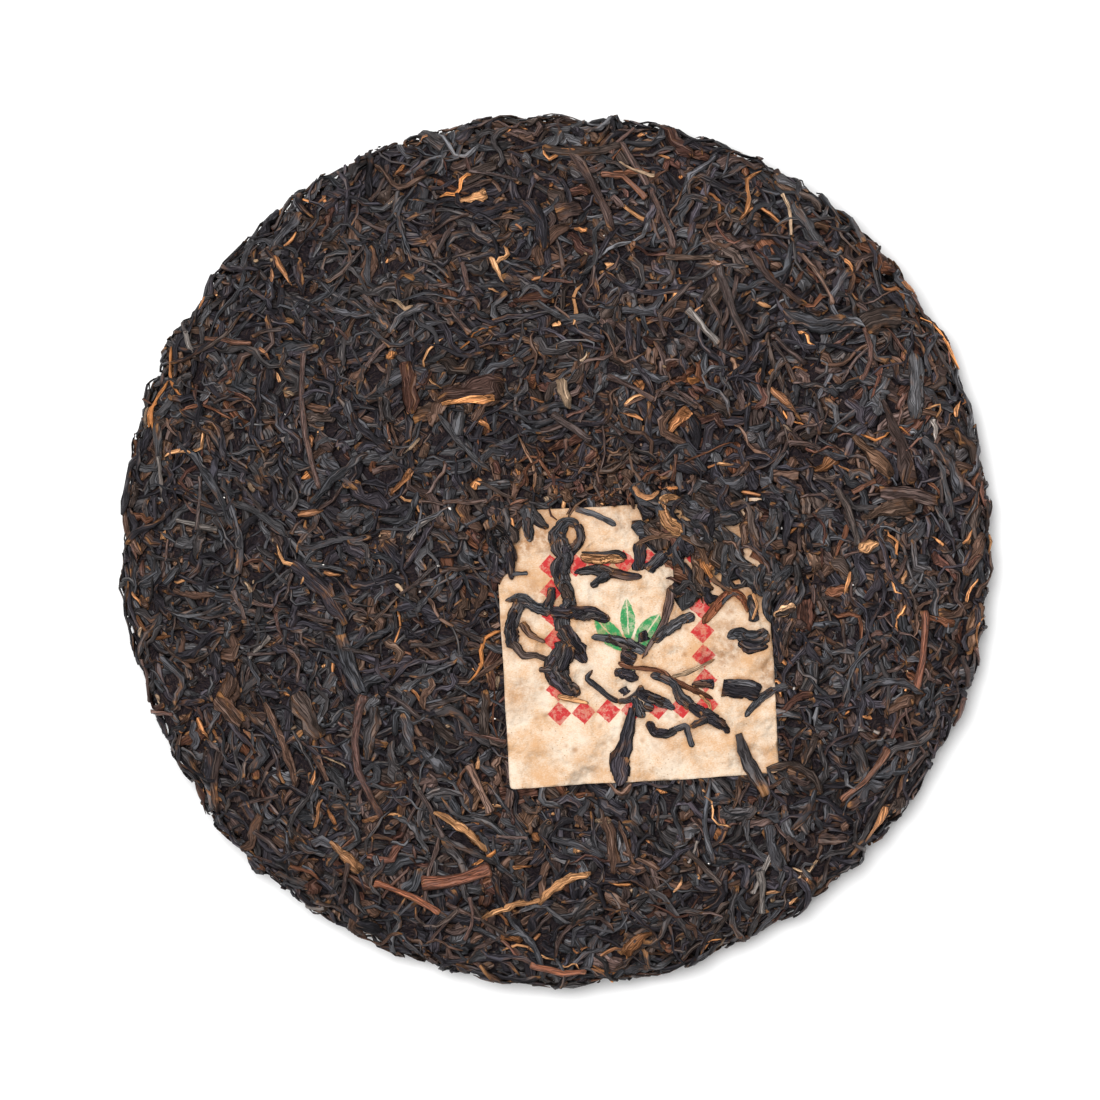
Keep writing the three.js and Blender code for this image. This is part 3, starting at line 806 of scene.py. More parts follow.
# what the cake is pressed from: how much of each, and its sizes
kinds = {
    "plain": {
        "share": 0.2,  # lies lowest, and fills what the others leave open
        "length": (6, 13),
        "width": (2.6, 5.6),
        "thick": 0.24,
        "tones": {"black": 4, "slate": 3, "brown": 2, "red": 0.4},
    },
    "scrap": {
        "share": 0.16,
        "length": (1.6, 4.5),
        "width": (1.0, 2.6),
        "thick": 0.4,
        "tones": {"black": 4, "slate": 3, "brown": 2.4, "red": 0.7, "olive": 0.3, "gold": 0.35},
    },
    "rolled": {
        "share": 0.13,
        "length": (7, 21),
        "width": (1.1, 2.5),
        "thick": 0.62,
        "tones": {"black": 5, "slate": 3, "brown": 2, "red": 0.3},
    },
    "twisted": {
        "share": 0.13,
        "length": (8, 24),
        "width": (1.0, 2.2),
        "thick": 0.7,
        "tones": {"black": 5, "slate": 4, "brown": 1.5, "red": 0.3},
    },
    "folded": {
        "share": 0.14,
        "length": (5, 14),
        "width": (1.9, 3.9),
        "thick": 0.4,
        "tones": {"black": 4, "slate": 3, "brown": 2, "red": 0.6, "olive": 0.3},
    },
    "frayed": {
        "share": 0.08,
        "length": (4, 10),
        "width": (1.8, 3.6),
        "thick": 0.4,
        "tones": {"black": 3, "slate": 2.4, "brown": 2, "red": 0.8, "olive": 0.4, "gold": 0.3},
    },
    "shred": {
        "share": 0.14,
        "length": (5, 17),
        "width": (0.5, 1.15),
        "thick": 0.8,
        "tones": {"black": 4, "slate": 3, "brown": 2, "red": 0.8, "gold": 0.9, "tan": 0.12},
    },
    "stem": {
        "share": 0.03,
        "length": (5, 13),
        "width": (0.9, 1.6),
        "thick": 0.85,
        "tones": {"bark": 6, "red": 2, "grey": 0.5, "tan": 0.2},
    },
    "bud": {
        "share": 0.04,
        "length": (2.6, 6),
        "width": (0.6, 1.3),
        "thick": 0.6,
        "tones": {"gold": 4, "red": 2, "tan": 0.7, "brown": 2},
    },
    "broad": {
        "share": 0.045,
        "length": (5, 11),
        "width": (2.8, 5.6),
        "thick": 0.3,
        "tones": {"black": 4, "slate": 2, "brown": 3, "red": 1.6, "olive": 1, "gold": 0.15},
    },
    "torn": {
        "share": 0.035,
        "length": (4, 8),
        "width": (2.4, 4.8),
        "thick": 0.3,
        "tones": {"black": 4, "slate": 2, "brown": 3, "red": 1.2, "olive": 0.7, "gold": 0.2},
    },
    "crumb": {
        "share": 0.08,
        "length": (0.5, 1.5),
        "width": (0.4, 1.0),
        "thick": 0.7,
        "tones": {"black": 3, "brown": 4, "red": 2, "gold": 0.7, "tan": 0.5},
    },
}

# where the leaves are redder or blacker: x, y, how far it spreads, and how much
warmPlaces = [
    (52, 60, 26, 0.2), (10, 84, 22, 0.1), (-4, -76, 20, 0.2), (-38, -60, 20, 0.1), (74, 8, 22, 0.4),
    (8, 24, 16, 0.35), (-55, 0, 28, -0.8), (-72, -20, 24, -0.5), (-40, 66, 24, -0.5),
    (60, -50, 24, -0.3),
]

spread = {
    "topLeaves": 8200,
    "topRadius": 116,
    "bottomLeaves": 4300,
    "bottomRadius": 99,
    "scatter": 0.7,  # how far it lies off its place in the spiral
    "stray": 0.8,  # how far a leaf lies off its neighbours' way, in radians
    "rimStray": 0.65,
    "rimHold": 0.7,  # the share of leaves that lie along the rim, out there
    "rim": (78, 98),
    "bow": 0.9,  # how far leaves bend, in radians
    "curled": 0.14,  # the share that curl round
    "curl": (1.6, 3.4),
    "twist": 1.1,
}


def warmth(x, y):
    whole = 0
    for px, py, far, much in warmPlaces:
        whole += much * math.exp(-((x - px) ** 2 + (y - py) ** 2) / (2 * far**2))
    return whole


def colourOf(family, brightness=1.0, spreadOut=0.16):
    # one leaf's own colour out of its family
    code = tones[family][rng.integers(len(tones[family]))]
    return np.array(linear(code)[:3]) * brightness * rng.lognormal(0, spreadOut)


def anyTone(kind, x, y):
    # a colour for a leaf of this kind, as the place has it
    families = list(kinds[kind]["tones"])
    weights = np.array([kinds[kind]["tones"][family] for family in families], float)
    warm = warmth(x, y)
    for k, family in enumerate(families):
        if family in ("red", "gold", "brown"):
            weights[k] *= math.exp((1.0 if family == "brown" else 1.7) * warm)
    family = families[rng.choice(len(families), p=weights / weights.sum())]
    # the leaves are duller left of the middle, and darker to the left
    dull = math.exp(-((x + 48) ** 2 + (y - 4) ** 2) / 3200)
    bright = 1 + 0.12 * x / 80 + 0.2 * float(smoothstep(x, 50, 90))
    return colourOf(family, bright, 0.28 - 0.14 * dull)


def wander(x, y, way, length, bow, wave, count=11):
    # the middle line of a leaf that lies this way: it bends by bow, and snakes a little
    t = np.linspace(-0.5, 0.5, count)
    direction = way + bow * t + wave * np.sin(8 * t + 20 * bow)
    path = np.stack([np.cumsum(np.cos(direction)), np.cumsum(np.sin(direction))], axis=1)
    path = path * length / (count - 1)
    return path - path.mean(axis=0) + (x, y)


def heading(x, y):
    # the way the leaves lie near a place; round the rim they lie along it
    free = 1.6 * math.sin(x / 13 + 0.6) + 1.4 * math.cos(y / 11 - 1.1) + 0.9 * math.sin((x + y) / 6)
    free += rng.normal(0, spread["stray"])
    rim = math.atan2(y, x) + math.pi / 2 + rng.normal(0, spread["rimStray"])
    hold = spread["rimHold"] * float(smoothstep(math.hypot(x, y), *spread["rim"]))
    return rim if rng.random() < hold else free


def layKind(pile, kind, x, y, direction, size=None, tone=None):
    # one leaf of a kind; what isn't given is drawn
    k = kinds[kind]
    length = rng.uniform(*k["length"]) if size is None else size[0]
    width = rng.uniform(*k["width"]) if size is None else size[1]
    bow, wave = rng.normal(0, spread["bow"]), rng.uniform(0.1, 0.95)
    if rng.random() < spread["curled"]:
        bow = rng.choice([-1, 1]) * rng.uniform(*spread["curl"])
    if kind in ("stem", "crumb", "bud", "broad", "torn", "plain", "frayed"):
        bow, wave = 0.4 * bow, 0.15 * wave
    line = wander(x, y, direction, length, bow, wave)
    flat = kind in ("broad", "torn")
    twist = 0 if flat else rng.normal(0, spread["twist"])
    turn = rng.uniform(-0.15, 0.15) if flat else rng.uniform(-0.7, 0.7)
    thick = rng.uniform(0.5, 1.0) if flat else min(k["thick"] * width, 1.4)
    tone = anyTone(kind, x, y) if tone is None else tone
    shapeName = {"scrap": "plain", "crumb": ("crumbA", "crumbB")[rng.integers(2)]}.get(kind, kind)
    pile.lay(f"{kind}_{pile.face}", shapeName, line, width, thick, tone, twist=twist, turn=turn)


# plain leaves come first, then flakes, and crumbs and shreds last, so that they lie on top
turns = {
    "plain": -1.2, "broad": -0.4, "torn": -0.4, "folded": 0, "frayed": 0, "scrap": 0.05,
    "rolled": 0.15, "twisted": 0.2, "shred": 0.4, "bud": 0.5, "stem": 0.5, "crumb": 0.5,
}


def strew(pile, count, radius):
    # places spread evenly by a spiral, taken in a mixed order
    golden = math.pi * (3 - math.sqrt(5))
    names = list(kinds)
    shares = np.array([kinds[name]["share"] for name in names])
    drawn = rng.choice(len(names), size=count, p=shares / shares.sum())
    order = np.argsort(rng.random(count) + np.array([turns[name] for name in names])[drawn])
    places = rng.permutation(count)
    for k in order:
        place = places[k]
        r = radius * math.sqrt((place + 0.5) / count)
        angle = place * golden
        x = r * math.cos(angle) + rng.normal(0, spread["scatter"])
        y = r * math.sin(angle) + rng.normal(0, spread["scatter"])
        layKind(pile, names[drawn[k]], x, y, heading(x, y))


print("strewing the leaves")
top = Pile("top")
strew(top, spread["topLeaves"], spread["topRadius"])
pressedDown(top)
bottom = Pile("bottom")
strew(bottom, spread["bottomLeaves"], spread["bottomRadius"])
pressedDown(bottom)

# where leaves are packed over the ticket, at its upper corners: x, y round each patch
packedRight = [
    (15.3, 9.1), (17.6, 3.3), (19.4, 1.8), (23.8, 1.2), (24.4, -2.5), (24.7, -5.6), (24.2, -10.8),
    (26.8, -10.8), (29.1, -15.5), (33.8, -15.5), (38.0, -12.4), (37.5, -8.4), (38.7, -6.8), (42.7, -7.3),
    (43.8, -9.4), (47.1, -9.8), (49.0, -15.0), (49.4, -22.0), (58, -22), (58, -1.2), (47.2, -1.2),
    (44.6, -3.6), (42.4, -0.8), (45.0, 1.6), (47.2, -1.0), (58, -1.0), (58, 18), (15, 17),
]
packedLeft = [
    (-4.6, 11.5), (-4.8, 8.2), (-5.6, 5.6), (-8.2, 4.8), (-9.0, 2.6), (-8.6, 0.4), (-9.8, -1.6),
    (-10.2, -5.6), (-12.2, -6.8), (-15, -6.5), (-15.5, 11.5),
]


def inside(corners, x, y):
    # which of the places lie within the outline
    hits = np.zeros(np.shape(x), bool)
    for (ax, ay), (bx, by) in zip(corners, corners[1:] + corners[:1]):
        if ay == by:
            continue
        crosses = ((ay > y) != (by > y)) & (x < (bx - ax) * (y - ay) / (by - ay) + ax)
        hits ^= crosses
    return hits


def onTicket(x, y):
    # from the face's map to the ticket's own edges, from its middle
    c, s = math.cos(ticket["turn"]), math.sin(ticket["turn"])
    dx, dy = x - ticket["middle"][0], y - ticket["middle"][1]
    return dx * c + dy * s, dy * c - dx * s


def offTicket(along, up):
    # and back again
    c, s = math.cos(ticket["turn"]), math.sin(ticket["turn"])
    return ticket["middle"][0] + along * c - up * s, ticket["middle"][1] + along * s + up * c


paperForm = {
    "cells": 110,
    "thick": 0.28,
    "drape": 1.5,  # how far the leaves are evened out for it: the smaller, the closer it follows them
    "tops": 0.35,  # how far single leaves stand over the evened ones
    "over": 0.12,  # how far the paper lies over those
    "sunk": 1.5,  # how far it goes down where leaves are packed over it
    "crumple": 0.6,
    "wear": 0.28,  # unevenness of its edges
    "under": 0.3,  # how far under it the leaves that it covers are pressed
}


def packedShare():
    # 1 where leaves are packed over the ticket, and less and less round there
    there = inside(packedRight, top.x, top.y) | inside(packedLeft, top.x, top.y)
    return blur(there.astype(float), 2.0)


def paperSheet():
    # how high the paper lies, everywhere on the top face's map
    p = paperForm
    close, loose = blur(top.height, p["drape"]), blur(top.height, 4.0)
    along, up = onTicket(top.x, top.y)
    crumple = 0.14 * np.sin(along / 2.3 + 1.2 * np.sin(up / 7)) * np.sin(up / 3.1 + 0.8)
    crumple += 0.1 * np.sin((along + 1.3 * up) / 1.9)
    level = 0.75 * close + 0.25 * loose + p["tops"] + p["over"]
    return level + p["crumple"] * crumple - p["sunk"] * packedShare()


sheet = paperSheet()
halfAlong, halfUp = ticket["size"][0] / 2, ticket["size"][1] / 2


def tuckUnder(pile):
    # leaves that the paper covers are pressed down under it, and those at its edge less and less
    for leaf in pile.leaves:
        along, up = onTicket(leaf["x"], leaf["y"])
        out = np.maximum(np.abs(along) - halfAlong, np.abs(up) - halfUp)
        if out.min() > 1:
            continue
        lid = pile.sample(sheet, leaf["x"], leaf["y"]) - paperForm["under"]
        lid = lid + 1.6 * smoothstep(out, -0.2, 1.2)
        leaf["height"] = np.minimum(leaf["height"], lid)
    along, up = onTicket(pile.x, pile.y)
    covered = (np.abs(along) < halfAlong) & (np.abs(up) < halfUp)
    pile.height[covered] = sheet[covered] + paperForm["thick"] * 0.5
    pile.owner[covered] = -1


def makeTicket():
    startFresh()
    p = paperForm
    cells = p["cells"]
    bpy.ops.mesh.primitive_grid_add(x_subdivisions=cells, y_subdivisions=cells, size=1)
    piece = bpy.context.object
    piece.name = "paper_ticket"
    mesh = piece.data
    points = pointsOf(mesh)
    # the edges are a little worn, and the corners a little rounded
    u, v = points[:, 0] * 2, points[:, 1] * 2
    ragged = np.sin(5 * u + 3 * v) + 0.6 * np.sin(11 * v - 7 * u + 2) + 0.25 * np.sin(67 * v + 43 * u)
    wear = p["wear"] * (0.5 + 0.3 * ragged)
    edge = np.maximum(np.abs(u), np.abs(v)) ** 24
    corner = (np.abs(u) * np.abs(v)) ** 40
    along = u * (halfAlong - wear * edge - 0.3 * corner)
    up = v * (halfUp - wear * edge - 0.3 * corner)
    x, y = offTicket(along, up)
    height = top.sample(sheet, x, y) - 0.12 * edge
    mesh.vertices.foreach_set("co", (onSurface("top", x, y, height) * mm).ravel())
    mesh.update()
    solid = piece.modifiers.new("thickness", "SOLIDIFY")
    solid.thickness, solid.offset = p["thick"] * mm, 0
    bpy.ops.object.modifier_apply(modifier=solid.name)
    bpy.ops.object.mode_set(mode="EDIT")
    bpy.ops.mesh.select_all(action="SELECT")
    bpy.ops.mesh.normals_make_consistent(inside=False)
    bpy.ops.object.mode_set(mode="OBJECT")
    bpy.ops.object.shade_smooth()
    x, y, _ = pointsOf(mesh).T / mm
    along, up = onTicket(x, y)
    place = mesh.attributes.new("place", "FLOAT_VECTOR", "POINT")
    place.data.foreach_set("vector", np.stack([along, up, 0 * up], axis=1).ravel())
    mesh.materials.append(paperMaterial())
    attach(piece, "root")
    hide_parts("ticket")
    return piece


def stainTicket(piece):
    # how much the leaves on the ticket have browned it, at each of its points
    over = blur((top.owner >= firstOver).astype(float), 0.55)
    x, y, _ = pointsOf(piece.data).T / mm
    near = smoothstep(top.sample(over, x, y), 0.04, 0.55)
    damp = 0.55 + 0.35 * np.sin(x / 3.1 + 0.4) * np.sin(y / 2.7)
    stain = piece.data.attributes.new("leafStain", "FLOAT", "POINT")
    stain.data.foreach_set("value", near * damp)


print("draping the ticket")
paperTicket = makeTicket()
tuckUnder(top)

# single leaves that catch the eye on the face: kind, from x, y, to x, y, bow to the left, width, colours
faceLeaves = [
    ("stem", -58, 45, -54, 14, -1.8, 1.7, "bark"),
    ("bud", -65, 68, -61, 61, 0, 1.3, "gold"),
    ("rolled", -59, 78, -66, 69, 0, 1.9, "slate"),
    ("twisted", -53, 56, -42, 54, -0.9, 2.0, "slate"),
    ("frayed", -22, 80, -16, 82, 0, 3.0, "gold"),
    ("torn", 0, 77, 6, 79, 0, 4.6, "brown"),
    ("folded", -7, 80, -3, 69, 1.4, 3.6, "black"),
    ("stem", 15, 94, 27, 69, 1.1, 1.9, "bark"),
    ("rolled", 3, 93, 13, 73, 0.9, 2.4, "brown"),
    ("bud", -15, 67, -12, 61, 0, 1.4, "gold"),
    ("folded", -34, 43, -33, 31, 0, 3.8, "red"),
    ("frayed", -27, 34.5, -12, 37.5, 0.6, 6.4, "bark"),
    ("frayed", -26, 33, -14, 34.5, 0.4, 2.2, "gold"),
    ("bud", 1, 39, 3, 32, 0, 3.0, "tan"),
    ("stem", 25, 67, 36, 67, 0, 1.6, "olive"),
    ("rolled", -3, 93, 15, 93, -0.7, 2.6, "brown"),
    ("stem", 30, 55, 37, 47, 0, 1.9, "grey"),
    ("stem", 37, 65, 44, 47, -0.7, 2.5, "bark"),
    ("twisted", 44, 69, 57, 56, -1.4, 2.2, "brown"),
    ("stem", 55, 68, 63, 56, 1.6, 1.4, "brown"),
    ("rolled", 54, 79, 61, 69, 0, 2.6, "slate"),
    ("folded", 82, 45, 82, 30, 0, 3.7, "slate"),
    ("bud", 80, 62, 83, 58, 0, 2.2, "gold"),
    ("torn", 70, 51, 79, 53, 0.9, 6.0, "brown"),
    ("twisted", 52, 55, 66, 53, -1.6, 3.0, "slate"),
    ("bud", 49, 37, 55, 31, 0, 2.0, "gold"),
    ("twisted", -87, 25, -74, 5, 1.4, 2.3, "slate"),
    ("twisted", -43, 22, -56, 10, -1.1, 2.4, "slate"),
    ("bud", -59, 8, -53, 9, 0, 1.8, "gold"),
    ("rolled", -88, -9, -78, -10, -0.9, 1.8, "brown"),
    ("torn", -49, -19, -44, -33, -0.7, 3.8, "slate"),
    ("folded", -60, -3, -48, -17, 1.1, 4.0, "black"),
    ("rolled", -74, 11, -61, 3, 0.9, 2.0, "slate"),
    ("frayed", 68, 26, 77, 17, 0, 3.6, "olive"),
    ("torn", 74, 13, 88, 11, 0.7, 4.0, "brown"),
    ("frayed", 70, 7, 82, 10, 0.9, 4.2, "olive"),
    ("frayed", 74, 34, 81, 15, 1.1, 4.0, "brown"),
    ("rolled", 84, 26, 93, 13, 1.8, 3.2, "slate"),
    ("stem", 64, 14, 69, 1, 0.9, 2.0, "brown"),
    ("bud", 69, 0, 74, 2, 0, 3.0, "gold"),
    ("stem", -31, -77, -15, -73, -0.7, 3.8, "rust"),
    ("twisted", -17, -85, -3, -80, 0.7, 1.7, "gold"),
    ("twisted", -4, -81, 8, -74, 1.6, 2.3, "gold"),
    ("twisted", -28, -60, -16, -69, 1.1, 2.2, "dun"),
    ("stem", -20, -49, -15, -60, 0, 2.3, "brown"),
    ("stem", 30, -69, 38, -77, 0, 1.7, "brown"),
    ("frayed", 22, -88, 16, -94, -0.9, 3.2, "gold"),
    ("stem", -6, -96, 7, -98, -0.5, 2.1, "rust"),
    ("folded", 11, -61, 13, -74, 0.9, 2.8, "brown"),
    ("rolled", -1, -66, 11, -70, 0.7, 2.0, "slate"),
    ("stem", -44, -33, -40, -61, -3.9, 2.5, "red"),
    ("folded", -60, -33, -54, -43, 0, 5.0, "brown"),
    ("twisted", -67, -35, -60, -54, 1.1, 2.2, "brown"),
    ("frayed", -52, -67, -45, -74, 0, 3.2, "dun"),
    ("rolled", -60, -67, -53, -70, -0.7, 2.0, "slate"),
    ("stem", -42, -77, -27, -84, 0.7, 2.0, "rust"),
    ("torn", -79, -34, -72, -40, 0, 4.6, "brown"),
    ("stem", 85, -14, 83, -33, 0.9, 2.4, "rust"),
    ("twisted", 69, -33, 85, -33, 3, 2.4, "slate"),
    ("stem", 77, -46, 66, -58, 0.7, 1.8, "red"),
    ("twisted", 48, -50, 61, -56, 3.7, 2.4, "brown"),
    ("bud", 77, -60, 72, -68, 0.9, 2.0, "gold"),
    ("torn", 61, -67, 68, -67, -0.5, 3.0, "brown"),
    ("rolled", 49, -63, 52, -74, -0.7, 3.0, "slate"),
    ("stem", 47, -74, 48, -85, 0.5, 2.2, "grey"),
    ("twisted", 66, -35, 75, -21, 2.8, 1.5, "slate"),
    ("stem", -1, 31, 8, 25, 0, 2.3, "bark"),
    ("twisted", -27, 31, -15, 18, -0.7, 1.7, "slate"),
    ("bud", -2, 18, 0, 12, 0.5, 1.9, "gold"),
    # wisps that stand out from the rim
    ("shred", -52, 93.5, -42, 98.5, 0.9, 0.9, "black"),
    ("shred", -46, 97, -43, 94, 0, 0.8, "brown"),
    ("shred", 103.5, 26, 103.8, 18.5, -1.6, 1.0, "black"),
    ("shred", -107, 2, -105.5, -9, -0.8, 1.4, "brown"),
    ("frayed", -106.5, -6, -104, -16, 0.8, 2.4, "slate"),
    ("shred", -60, -89, -52, -93.5, 1.2, 0.9, "brown"),
    ("shred", 64, 86, 71, 80, 0.8, 0.9, "red"),
    ("shred", 90, -58, 84, -66, -0.9, 0.9, "black"),
    ("twisted", 30, -103, 41, -98.5, -0.7, 1.6, "brown"),
]


def arc(x1, y1, x2, y2, bow, count=9):
    # a line from one place to another that bows out to the left of the way
    t = np.linspace(0, 1, count)
    length = math.hypot(x2 - x1, y2 - y1)
    out = 4 * bow * t * (1 - t)
    x = x1 + (x2 - x1) * t - (y2 - y1) / length * out
    y = y1 + (y2 - y1) * t + (x2 - x1) / length * out
    return np.stack([x, y], axis=1)


def layFaceLeaf(kind, x1, y1, x2, y2, bow, width, family):
    # it lies a fifth of its thickness down among its neighbours
    flat = kind in ("broad", "torn")
    thick = 1.0 if flat else min(kinds[kind]["thick"] * width, 1.5)
    tone = colourOf(family, 1.05)
    twist = 0 if flat or kind == "stem" else rng.normal(0, 0.8)
    line = arc(x1, y1, x2, y2, bow)
    piece, sink = f"{kind}_top", 0.2 * thick
    top.lay(piece, kind, line, width, thick, tone, sink=sink, twist=twist, slump=3, high=0.7)


# pale crumbs painted as glints of light: x, y, size
paintedGlints = [
    (-24.2, 9.4, 0.9), (-38, 25, 0.4), (-26.8, -3.6, 0.8), (-53, -3.4, 0.5), (-31, -9.5, 0.7),
    (-36, -15, 0.4), (51.5, 5.0, 0.7), (-14, -38.5, 0.5), (11, 72, 0.5), (-62, 31, 0.4), (35, -72, 0.5),
    (68, -8, 0.5), (-40, 66, 0.5), (58, 40, 0.4), (-6, 52, 0.4), (-12.6, -0.8, 0.7), (54.2, -31.5, 0.8),
    (-76, 12, 0.5),
]


def throughPoints(points, perSpan=4):
    # a smooth line through given places, each with its width
    points = np.array(points, float)
    if len(points) == 2:
        t = np.linspace(0, 1, 7)[:, None]
        return points[0] * (1 - t) + points[1] * t
    ends = np.vstack([2 * points[0] - points[1], points, 2 * points[-1] - points[-2]])
    ends[0, 2], ends[-1, 2] = points[0, 2], points[-1, 2]
    spans = []
    t = np.linspace(0, 1, perSpan, endpoint=False)[:, None]
    for a, b, c, d in zip(ends, ends[1:], ends[2:], ends[3:]):
        square, cube = 2 * a - 5 * b + 4 * c - d, 3 * b - a - 3 * c + d
        spans.append(0.5 * (2 * b + (c - a) * t + square * t**2 + cube * t**3))
    return np.vstack(spans + [points[-1:]])


# leaves on the ticket, by the node that they stand for: colours, then x, y and width along each; a row
# that starts with "blade" is one flat leaf, and the others are rolled up
ticketLeaves = {
    "leaf_clump_left": [
        ("slate", (0.5, 0.2, 3.4), (0.1, 3.0, 3.5), (1.3, 5.7, 2.7), (3.2, 6.6, 1.9), (5.0, 5.4, 1.6)),
        ("black", (4.6, 5.8, 1.5), (5.6, 3.2, 1.8), (4.7, 0.8, 2.0), (3.0, -0.5, 2.6), (1.4, -1.6, 2.8)),
        ("black", (1.0, 3.0, 2.8), (1.4, 0.6, 4.6), (1.8, -1.9, 3.8), (0.8, -5.2, 4.6), (2.2, -8.4, 3.4)),
        ("slate", (1.2, -6.8, 3.4), (3.3, -12.2, 2.6), (1.2, -15.5, 3.5), (1.7, -18.5, 3.0)),
        ("black", (1.5, -17.2, 2.6), (3.3, -20.9, 4.4), (5.0, -23.0, 4.0), (6.9, -25.6, 1.4)),
        ("slate", (-11.6, -11.5, 0.9), (-8.1, -11.0, 2.6), (-4.6, -12.9, 2.3), (-1.1, -14.1, 2.8)),
        ("black", (-1.5, -14.0, 2.0), (3.6, -14.1, 3.3), (8.3, -14.5, 3.0), (12.2, -15.9, 2.1)),
        ("slate", (-0.9, -8.4, 1.6), (-1.3, -10.8, 2.3), (-2.0, -13.4, 2.6)),
        ("black", (-8.1, -11.7, 2.6), (-9.6, -15.0, 3.0), (-10.2, -18.7, 3.0), (-9.7, -22.3, 2.6)),
        ("brown", (-10.0, -21.0, 2.0), (-7.4, -23.8, 1.9), (-4.6, -24.0, 1.5), (-1.3, -25.2, 1.1)),
        ("brown", (-7.9, -16.4, 2.1), (-5.8, -19.2, 1.5), (-2.5, -21.0, 0.8)),
        (
            "black", (2.2, -20.9, 4.2), (1.2, -24.2, 5.4), (-0.2, -27.4, 5.8), (1.7, -30.7, 4.7),
            (5.5, -32.8, 2.1),
        ),
        ("slate", (-4.0, -27.2, 0.7), (-1.1, -27.2, 2.8)),
        ("gold", (0.3, -33.3, 1.4), (4.1, -34.2, 1.4), (7.4, -35.0, 0.8)),
    ],
    "leaf_tan": [
        ("dun", (5.5, -1.4, 1.6), (8.3, -1.9, 2.9), (12.5, -1.8, 2.3), (16.0, -1.9, 0.7)),
        ("black", (5.7, -0.5, 0.6), (10.1, -0.7, 0.7), (13.9, -0.5, 1.2), (16.0, -1.9, 1.2)),
    ],
    "leaf_dark": [
        (
            "black", (4.1, -5.2, 1.2), (7.1, -4.4, 1.6), (10.6, -4.8, 2.6), (15.3, -5.8, 2.1),
            (19.5, -6.1, 1.6),
        ),
        ("slate", (12.0, -5.4, 2.1), (9.9, -6.8, 2.1), (7.8, -8.2, 1.2)),
    ],
    "leaf_clump_middle": [
        (
            "slate", (8.0, -19.9, 1.4), (11.1, -20.0, 2.0), (15.3, -21.1, 2.1), (19.7, -22.8, 2.1),
            (20.2, -24.2, 1.6),
        ),
        ("black", (19.5, -18.5, 2.1), (20.0, -20.8, 2.6)),
        (
            "brown", (26.3, -8.0, 2.1), (25.6, -13.1, 2.2), (24.0, -17.3, 1.5), (21.6, -21.3, 1.2),
            (19.5, -24.7, 0.7),
        ),
        ("slate", (31.5, -14.8, 2.3), (28.2, -16.3, 2.0), (25.1, -18.3, 2.6), (22.0, -20.7, 2.1)),
        ("black", (14.6, -23.9, 2.8), (18.1, -25.1, 3.3)),
        ("black", (13.2, -27.7, 1.9), (15.3, -28.1, 2.6), (17.6, -28.8, 2.8), (18.6, -28.6, 1.9)),
        (
            "slate", (8.3, -27.3, 0.7), (7.1, -29.3, 1.4), (9.4, -31.2, 1.4), (11.8, -33.3, 1.4),
            (14.3, -34.7, 1.4),
        ),
        ("black", (14.0, -34.6, 1.3), (17.1, -33.9, 1.4), (19.7, -30.9, 1.6)),
        ("black", (15.0, -31.4, 1.9), (16.2, -32.8, 1.9)),
        ("slate", (17.4, -33.3, 1.4), (18.8, -35.9, 2.8), (20.0, -38.2, 1.4)),
        ("black", (22.1, -36.3, 1.4), (19.8, -35.4, 2.6)),
        ("slate", (18.4, -32.1, 2.1), (21.6, -33.7, 2.6), (24.7, -34.9, 2.1), (27.0, -36.2, 1.4)),
        (
            "red", (14.1, -25.6, 1.2), (17.0, -26.7, 1.1), (20.5, -27.0, 1.1), (24.0, -27.7, 1.2),
            (26.3, -29.5, 1.3),
        ),
        ("red", (25.4, -28.8, 1.2), (29.8, -31.2, 1.4), (33.3, -32.7, 1.4), (35.7, -33.9, 0.9)),
        ("gold", (32.6, -33.0, 0.7), (34.7, -34.9, 0.8), (35.2, -37.3, 0.6)),
        ("tan", (26.3, -28.8, 0.8), (30.1, -27.7, 1.1), (33.3, -26.3, 0.8), (36.1, -24.9, 0.7)),
        ("black", (30.8, -30.6, 0.7), (33.3, -30.5, 1.9), (36.0, -30.5, 2.5)),
        (
            "slate", (21.4, -28.6, 1.4), (24.0, -29.0, 1.9), (26.8, -30.7, 1.8), (28.2, -33.3, 2.3),
            (31.0, -35.9, 2.6),
        ),
        ("black", (30.2, -35.2, 2.2), (34.5, -38.0, 2.7), (37.5, -39.8, 2.2), (39.4, -41.6, 1.4)),
        ("slate", (30.6, -40.3, 1.2), (32.9, -39.1, 1.8), (34.3, -38.2, 1.6)),
    ],
    "leaf_curl": [
        ("black", (20.9, -39.0, 1.6), (22.2, -41.2, 2.2), (25.1, -41.9, 1.8), (27.5, -40.8, 1.8)),
        ("slate", (26.8, -41.0, 1.6), (29.2, -40.1, 1.5), (30.1, -41.9, 1.4), (31.1, -45.0, 1.4)),
    ],
    "leaf_bottom": [
        (
            "blade", "black", (17.3, -35.9, 1.6), (16.6, -40.1, 2.6), (15.7, -44.0, 3.1),
            (14.6, -47.5, 4.4), (14.4, -51.0, 4.6),
        ),
        ("blade", "black", (14.9, -47.0, 3.4), (14.5, -49.9, 4.4), (14.6, -52.2, 3.3), (14.1, -53.7, 0.9)),
    ],
    "leaf_block": [
        ("blade", "black", (37.8, -31.4, 4.0), (40.3, -31.6, 4.3), (43.9, -31.9, 4.4), (46.2, -32.7, 3.8)),
        ("blade", "slate", (39.0, -30.0, 1.2), (42.3, -30.1, 1.4), (45.5, -30.7, 1.2)),
    ],
}

